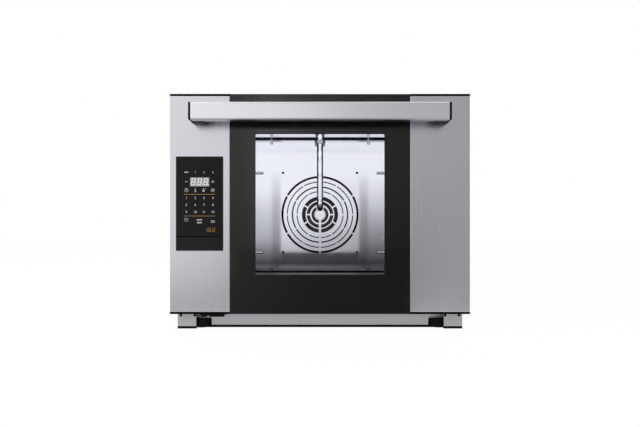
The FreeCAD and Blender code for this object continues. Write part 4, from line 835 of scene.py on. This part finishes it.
def number(text, x, z, size):
    # A numeral is about 0.7 of its type size tall.
    half_tall = size * 0.35
    weight = size * 0.015
    bpy.ops.object.select_all(action="DESELECT")
    bpy.ops.object.text_add(location=(x, print_y, z - half_tall), rotation=(math.pi / 2, 0, 0))
    mark = bpy.context.object
    mark.data.body = text
    mark.data.size = size
    mark.data.align_x = "CENTER"
    mark.data.resolution_u = 3
    mark.data.offset = weight
    mark.data.extrude = print_thick / 2
    bpy.ops.object.convert(target="MESH")
    mark = bpy.context.object
    bpy.ops.object.transform_apply()
    bpy.ops.object.mode_set(mode="EDIT")
    bpy.ops.mesh.select_all(action="SELECT")
    bpy.ops.mesh.remove_doubles(threshold=1e-6)
    bpy.ops.object.mode_set(mode="OBJECT")
    mark.name = "number"
    return mark


def figure(x, z, width, height, bar, lit, lean=0.0):
    # One seven-segment figure: three level bars and four upright ones, all leaning to the right.
    half = height / 2
    aside = (width - bar) / 2
    level = (width - bar, bar)
    upright = (bar, half - bar / 2)
    segments = {
        "a": (x, z + half - bar / 2, *level), "d": (x, z - half + bar / 2, *level), "g": (x, z, *level),
        "b": (x + aside, z + half / 2, *upright), "c": (x + aside, z - half / 2, *upright),
        "e": (x - aside, z - half / 2, *upright), "f": (x - aside, z + half / 2, *upright),
    }
    bars = []
    for key in lit:
        at, up, wide, tall = segments[key]
        turn = math.atan(lean) if tall > wide else 0.0
        bars.append(flat_bar(at + (up - z) * lean, up, wide, tall, turn, 0.45))
    return bars


def lit_finish(name, code, deep_code, strength):
    # Ink with a painted glow, or a diffuser that glows a little, uneven by a few per cent as prints are.
    patch_mm = 2.5
    finish, tree = new_finish(name)
    place = add(tree, "ShaderNodeTexCoord", {})
    patch = add(
        tree, "ShaderNodeTexNoise",
        {"Vector": place.outputs["Object"], "Scale": 1000 / patch_mm, "Detail": 2.0},
    )
    shade = add(
        tree, "ShaderNodeMix",
        {"Factor": patch.outputs["Fac"], 6: colour(deep_code), 7: colour(code)}, data_type="RGBA",
    )
    skin = add(
        tree, "ShaderNodeBsdfPrincipled",
        {
            "Base Color": shade.outputs[2], "Roughness": 0.5,
            "Emission Color": shade.outputs[2], "Emission Strength": strength,
        },
    )
    add(tree, "ShaderNodeOutputMaterial", {"Surface": skin.outputs["BSDF"]})
    return finish


# The white and red inks are given a painted glow, though no lamp lights them.
white_ink_painted_glow = lit_finish("pale_grey_ink", "#B9B9B9", "#9C9C9C", 0.35)
amber_ink = lit_finish("amber_light", "#A27A34", "#846026", 0.3)
red_ink_painted_glow = lit_finish("red_ink_painted_glow", "#A83232", "#8A2020", 0.25)
display_grey = lit_finish("display_filter", "#8F9092", "#808183", 0.35)
display_white = lit_finish("lit_segment", "#D4D4D4", "#C6C6C6", 0.55)

top_row = 0.3183
small_type = 0.0052
marks = []
for text, x in zip(("1", "2", "3"), columns[1:]):
    marks.append(number(text, x, top_row, small_type))
marks.append(flat_bar(columns[0], top_row, 0.0080, 0.0020))
number_rows = (0.2670, 0.2534, 0.2392)
large_type = 0.0064
for row, z in enumerate(number_rows):
    for column, x in enumerate(columns):
        marks.append(number(str(4 * row + column + 1), x, z, large_type))
numbers = join("panel_numbers", marks)


def strokes(x, z, bars):
    # Bars of one sign, in millimetres: across and up from its middle, width, height, then turn and point.
    return [flat_bar(x + a / 1000, z + u / 1000, w / 1000, h / 1000, *more) for a, u, w, h, *more in bars]


# Minus and plus stand beside the display.
key_row = 0.2995
signs = strokes(columns[0], key_row, [(0, 0, 5.2, 1.2)])
signs += strokes(columns[3], key_row, [(0, 0, 5.2, 1.3), (0, 0, 1.3, 5.2)])
# A clock, a thermometer, a drop and a fan stand under it.
sign_row = 0.2827
sign_radius = 0.0038
signs.append(flat_ring(columns[0], sign_row, sign_radius, 0.0008))
signs += strokes(columns[0], sign_row, [(0, 1.2, 0.8, 3.0), (0.9, 0, 2.2, 0.8)])
signs += strokes(columns[1], sign_row, [(0, 1.0, 1.4, 5.6, 0.0, 0.45)])
signs.append(flat_ring(columns[1], sign_row - 0.0024, 0.0017, 0.0012))
signs.append(flat_drop(columns[2] - 0.0008, sign_row - 0.0010, 0.0023, 0.0028))
signs += strokes(columns[2], sign_row, [(3.0, 2.6, 2.2, 0.8, 0.6)])
signs.append(flat_ring(columns[3], sign_row, sign_radius, 0.0006))
blade_reach = 0.0014
blade_spots = []
for turn in range(3):
    angle = turn * 2 * math.pi / 3
    spot = (columns[3] + blade_reach * math.sin(angle), 0, sign_row + blade_reach * math.cos(angle))
    blade_spots.append((spot, (0, angle, 0)))
signs += spread(flat_drop(0, 0, 0.0009, 0.0008), blade_spots)
# The lowest row has a ring with a stroke, two bars for start and stop, and a tray.
foot_row = 0.2214
signs.append(flat_ring(columns[0], foot_row + 0.0022, 0.0034, 0.0008))
signs += strokes(columns[0], foot_row, [(-3.4, 3.6, 2.8, 1.0, 0.7)])
signs.append(flat_rim(columns[3], foot_row - 0.0014, 0.0070, 0.0043, 0.0011, (-1, 1)))
signs += strokes(panel_middle, foot_row, [(0, 2.0, 10.5, 2.2), (0, -3.8, 9.8, 2.2)])
signs = join("panel_signs", signs)

amber_middle = -0.24065
amber_rows = (0.2743, 0.2310)
amber = [flat_bar(amber_middle, z, 0.0623, 0.0010) for z in amber_rows]
small_row = 0.2033
small_size = (0.0050, 0.0082, 0.0009)
for x, lit in ((-0.2272, "bc"), (-0.2198, "acdefg"), (-0.2123, "abcdef")):
    amber += figure(x, small_row, *small_size, lit)
amber = join("panel_amber_lines", amber)
red_line = flat_bar(panel_middle, foot_row - 0.0010, 0.0092, 0.0007)
red_line.name = "panel_stop_line"

rim_width = 0.0018
rims = []
for node, end in (("control_glass", 1), ("control_lower_cover", -1)):
    low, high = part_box(node)
    middle = (low + high) / 2
    rims.append(flat_rim(middle.x, middle.z, high.x - low.x, high.z - low.z, rim_width, (end,)))
rims = join("panel_rim_print", rims)
black_ink = lit_finish("black_ink", "#070707", "#030303", 0.0)

# The figures of the display lie on its filter.
display_x = -0.2403
display_z = 0.2991
display = flat_bar(display_x, display_z, 0.0382, 0.0180, point=0.06)
display.name = "display_filter"
print_y -= print_thick
digit_size = (0.0084, 0.0138, 0.0017)
digit_lean = 0.14
digit_step = 0.0124
digit = figure(display_x, display_z, *digit_size, "abcdefg", digit_lean)
digit += strokes(display_x, display_z, [(5.6, -6.2, 1.5, 1.5)])
digit = join("digit", digit)
digits = join("display_digits", spread(digit, [((k * digit_step, 0, 0), (0, 0, 0)) for k in (-1, 0, 1)]))
for piece, finish in (
    (numbers, white_ink_painted_glow), (signs, white_ink_painted_glow), (amber, amber_ink),
    (red_line, red_ink_painted_glow), (display, display_grey), (digits, display_white), (rims, black_ink),
):
    piece.data.materials.append(finish)
    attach(piece, "door")

# Floor and studio.
# A pale floor that keeps a faint shadow, and what the oven mirrors: a graded card far behind the camera,
# a dark cloth in front and a card in the oven's mouth, which the camera itself doesn't see.


def studio_card(name, middle, size, turn=0.0):
    # A flat sheet that lies on the floor or is turned upright.
    bpy.ops.object.select_all(action="DESELECT")
    bpy.ops.mesh.primitive_plane_add(size=1, location=middle, rotation=(turn, 0, 0))
    sheet = bpy.context.object
    sheet.name = name
    sheet.scale = (*size, 1)
    bpy.ops.object.transform_apply()
    return sheet


def seen_plainly(tree):
    # 1 for what is seen directly, in a mirror or through glass, and 0 for scattered light.
    rays = add(tree, "ShaderNodeLightPath", {}).outputs
    seen = rays["Is Camera Ray"]
    for kind in ("Is Glossy Ray", "Is Transmission Ray"):
        seen = add(tree, "ShaderNodeMath", {0: seen, 1: rays[kind]}, operation="MAXIMUM").outputs[0]
    return seen


def light_up(sheet, finish, tint, level):
    # The sheet glows, but the camera doesn't see it and it throws no shadow.
    glow = add(finish.node_tree, "ShaderNodeEmission", {"Color": tint, "Strength": level})
    add(finish.node_tree, "ShaderNodeOutputMaterial", {"Surface": glow.outputs[0]})
    sheet.data.materials.append(finish)
    sheet.visible_camera = False
    sheet.visible_shadow = False


def graded(tree, value, stops):
    # A level that follows (place, level) stops along one direction.
    first, last, peak = stops[0][0], stops[-1][0], max(level for place, level in stops)
    share = add(tree, "ShaderNodeMapRange", {"Value": value, "From Min": first, "From Max": last})
    ramp = add(tree, "ShaderNodeValToRGB", {"Fac": share.outputs[0]})
    steps = ramp.color_ramp.elements
    for place, level in stops[1:-1]:
        steps.new((place - first) / (last - first))
    for step, (place, level) in zip(steps, stops):
        step.color = [level / peak] * 3 + [1]
    return add(tree, "ShaderNodeMath", {0: ramp.outputs["Color"], 1: peak}, operation="MULTIPLY").outputs[0]


white = (1, 1, 1, 1)
# The floor is white paper, painted near black under the oven as a painted shadow.
floor = studio_card("floor", (0, 0, 0), (8, 8))
floor_finish, tree = new_finish("white_paper")
at = axes(tree)
across = add(tree, "ShaderNodeMath", {0: at["X"]}, operation="ABSOLUTE").outputs[0]
under = graded(tree, across, [(0.25, 1), (0.292, 0)])
under_deep = graded(tree, at["Y"], [(-0.2245, 0), (-0.224, 1), (0.2, 1), (0.325, 0)])
under = add(tree, "ShaderNodeMath", {0: under, 1: under_deep}, operation="MULTIPLY")
open_floor = add(tree, "ShaderNodeMath", {0: 1.0, 1: under.outputs[0]}, operation="SUBTRACT").outputs[0]
bright = add(tree, "ShaderNodeMath", {0: seen_plainly(tree), 1: open_floor}, operation="MULTIPLY")
bright = add(tree, "ShaderNodeMath", {0: bright.outputs[0], 1: 0.9}, operation="MULTIPLY")
tone = add(
    tree, "ShaderNodeMix", {"Factor": open_floor, 6: colour("#0A0A0A"), 7: colour("#F2F2F2")},
    data_type="RGBA",
)
paper = add(tree, "ShaderNodeBsdfDiffuse", {"Color": tone.outputs[2]})
lit_paper = add(tree, "ShaderNodeEmission", {"Color": white, "Strength": 1.05})
both = add(
    tree, "ShaderNodeMixShader", {0: bright.outputs[0], 1: paper.outputs[0], 2: lit_paper.outputs[0]},
)
add(tree, "ShaderNodeOutputMaterial", {"Surface": both.outputs[0]})
floor.data.materials.append(floor_finish)

# The card far behind the camera is brightest left of the middle and in the strip that the handle mirrors.
card = studio_card("graded_card", (0, -3.4, 1.5), (7, 5), math.pi / 2)
card_finish, tree = new_finish("graded_card_light")
at = axes(tree)
across = graded(
    tree, at["X"],
    [
        (-1.0, 1.1), (-0.8, 1.02), (-0.62, 0.92), (-0.52, 0.95), (-0.4, 1.3), (-0.3, 1.35), (-0.2, 1.12),
        (0, 0.79), (0.27, 0.61), (0.56, 0.47), (0.74, 0.58), (0.84, 0.63), (1.0, 0.49),
    ],
)
rise = graded(
    tree, at["Z"],
    [
        (0, 0.66), (0.13, 0.7), (0.26, 0.78), (0.41, 0.9), (0.67, 0.96), (0.8, 0.9), (0.86, 1.6),
        (0.96, 1.6), (1.0, 1.1), (1.1, 0.8), (1.6, 0.45),
    ],
)
flat = graded(tree, at["X"], [(-0.72, 1.0), (-0.6, 0.0), (0.62, 0.0), (0.8, 0.6)])
even = add(tree, "ShaderNodeMix", {"Factor": flat, "A": rise, "B": 1.0}, data_type="FLOAT")
level = add(tree, "ShaderNodeMath", {0: across, 1: even.outputs["Result"]}, operation="MULTIPLY")
light_up(card, card_finish, white, level.outputs[0])

# The dark cloth is what the door's lower part mirrors. Its shades run along lines from the mirrored camera.
camera_y = -1.575
camera_z = 0.236
door_y = -0.275
cloth = studio_card("dark_cloth", (0, -1.91, 0.001), (7, 2.98))
cloth_finish, tree = new_finish("grey_cloth")
at = axes(tree)
mirrored_eye = 2 * door_y - camera_y
reach = add(tree, "ShaderNodeMath", {0: mirrored_eye, 1: at["Y"]}, operation="SUBTRACT")
mirrored = add(tree, "ShaderNodeMath", {0: at["X"], 1: reach.outputs[0]}, operation="DIVIDE")
mirrored = add(tree, "ShaderNodeMath", {0: mirrored.outputs[0], 1: door_y - camera_y}, operation="MULTIPLY")
near = graded(
    tree, mirrored.outputs[0],
    [(-0.3, 0.5), (-0.24, 0.47), (-0.165, 0.42), (0, 0.28), (0.17, 0.26), (0.2, 0.54), (0.3, 0.47)],
)
far = graded(
    tree, mirrored.outputs[0],
    [(-0.3, 1.1), (-0.2, 1.0), (-0.165, 0.5), (0, 0.29), (0.17, 0.25), (0.2, 0.46), (0.3, 0.48)],
)
depth = graded(tree, at["Y"], [(-1.8, 1), (-0.65, 0)])
fade = add(tree, "ShaderNodeMix", {"Factor": depth, "A": near, "B": far}, data_type="FLOAT")
light_up(cloth, cloth_finish, white, fade.outputs["Result"])
cloth.visible_diffuse = False


def shaded(tree, level, share, depth):
    # The level, darker by the depth where the share is 1.
    loss = add(tree, "ShaderNodeMath", {0: share, 1: depth}, operation="MULTIPLY")
    left = add(tree, "ShaderNodeMath", {0: 1.0, 1: loss.outputs[0]}, operation="SUBTRACT")
    return add(tree, "ShaderNodeMath", {0: level, 1: left.outputs[0]}, operation="MULTIPLY").outputs[0]


# A glowing card in the oven's mouth, which only the bright sheet inside mirrors: a painted reflection of a
# lit room through the window, bright above and dark below, with painted shade of the window's soft frame
# and a painted darker right side.
mouth_card = studio_card("oven_mouth_card", (0, -0.205, 0.257), (0.478, 0.356), -math.pi / 2)
mouth_finish, tree = new_finish("oven_mouth_light")
at = axes(tree)
across = add(tree, "ShaderNodeMath", {0: at["X"]}, operation="ABSOLUTE").outputs[0]
outer = graded(
    tree, at["Z"],
    [
        (0.078, 0.08), (0.086, 0.11), (0.105, 0.2), (0.125, 0.31), (0.144, 0.46), (0.1635, 0.56),
        (0.202, 0.68), (0.241, 0.8), (0.28, 0.98), (0.318, 1.12), (0.36, 1.14), (0.42, 1.16),
    ],
)
inner = graded(
    tree, at["Z"],
    [
        (0.078, 0.07), (0.109, 0.08), (0.113, 0.62), (0.125, 0.69), (0.1635, 0.87), (0.202, 1.03),
        (0.241, 1.1), (0.3, 1.14),
    ],
)
pane = graded(tree, across, [(0.122, 1), (0.13, 0)])
level = add(tree, "ShaderNodeMix", {"Factor": pane, "A": outer, "B": inner}, data_type="FLOAT")
# Painted shade of the window's frame, then a painted darker right side.
painted_frame_shade_share = graded(tree, across, [(0.124, 0), (0.131, 1), (0.15, 1), (0.16, 0)])
painted_frame_shade_depth = graded(tree, at["Z"], [(0.28, 0.32), (0.3, 0.25), (0.337, 0.16), (0.38, 0)])
level = shaded(tree, level.outputs["Result"], painted_frame_shade_share, painted_frame_shade_depth)
painted_right_shade_share = graded(tree, at["X"], [(-0.12, 0), (0.116, 0.8), (0.18, 1)])
painted_right_shade_depth = graded(
    tree, at["Z"],
    [
        (0.086, 0.32), (0.144, 0.43), (0.1635, 0.43), (0.202, 0.31), (0.241, 0.19), (0.318, 0.14),
        (0.357, 0.03),
    ],
)
level = shaded(tree, level, painted_right_shade_share, painted_right_shade_depth)
rear = add(tree, "ShaderNodeNewGeometry", {}).outputs["Backfacing"]
level = shaded(tree, level, rear, 1.0)
light_up(mouth_card, mouth_finish, colour("#FBFBFF"), level)
mouth_card.visible_transmission = False

world = bpy.data.worlds.new("white_room")
bpy.context.scene.world = world
world.use_nodes = True
tree = world.node_tree
tree.nodes.clear()
soft = add(tree, "ShaderNodeBackground", {"Color": white, "Strength": 0.55})
plain = add(tree, "ShaderNodeBackground", {"Color": white, "Strength": 1.0})
both = add(tree, "ShaderNodeMixShader", {0: seen_plainly(tree), 1: soft.outputs[0], 2: plain.outputs[0]})
add(tree, "ShaderNodeOutputWorld", {"Surface": both.outputs[0]})

# One wide soft lamp stands high at the left.
key_at = (-1.5, -1.8, 1.9)
key_aim = (0, 0, 0.25)
lamp = bpy.data.lights.new("key_light", "AREA")
lamp.size = 1.4
lamp.energy = 14
key_light = bpy.data.objects.new("key_light", lamp)
bpy.context.scene.collection.objects.link(key_light)
away = [place - aim for place, aim in zip(key_at, key_aim)]
lean = math.atan2(math.hypot(away[0], away[1]), away[2])
key_light.location = key_at
key_light.rotation_euler = (lean, 0, math.atan2(away[0], -away[1]))

# Camera of the photograph.
# It stands level with the middle of the door, 1.3 m in front of it.
sight = bpy.data.cameras.new("photo_view")
sight.lens = 36.6
sight.sensor_width = 36.0
camera = bpy.data.objects.new("photo_view", sight)
bpy.context.scene.collection.objects.link(camera)
camera.location = (0, camera_y, camera_z)
camera.rotation_euler = (math.pi / 2, 0, 0)
bpy.context.scene.camera = camera
bpy.context.scene.view_settings.view_transform = "Standard"
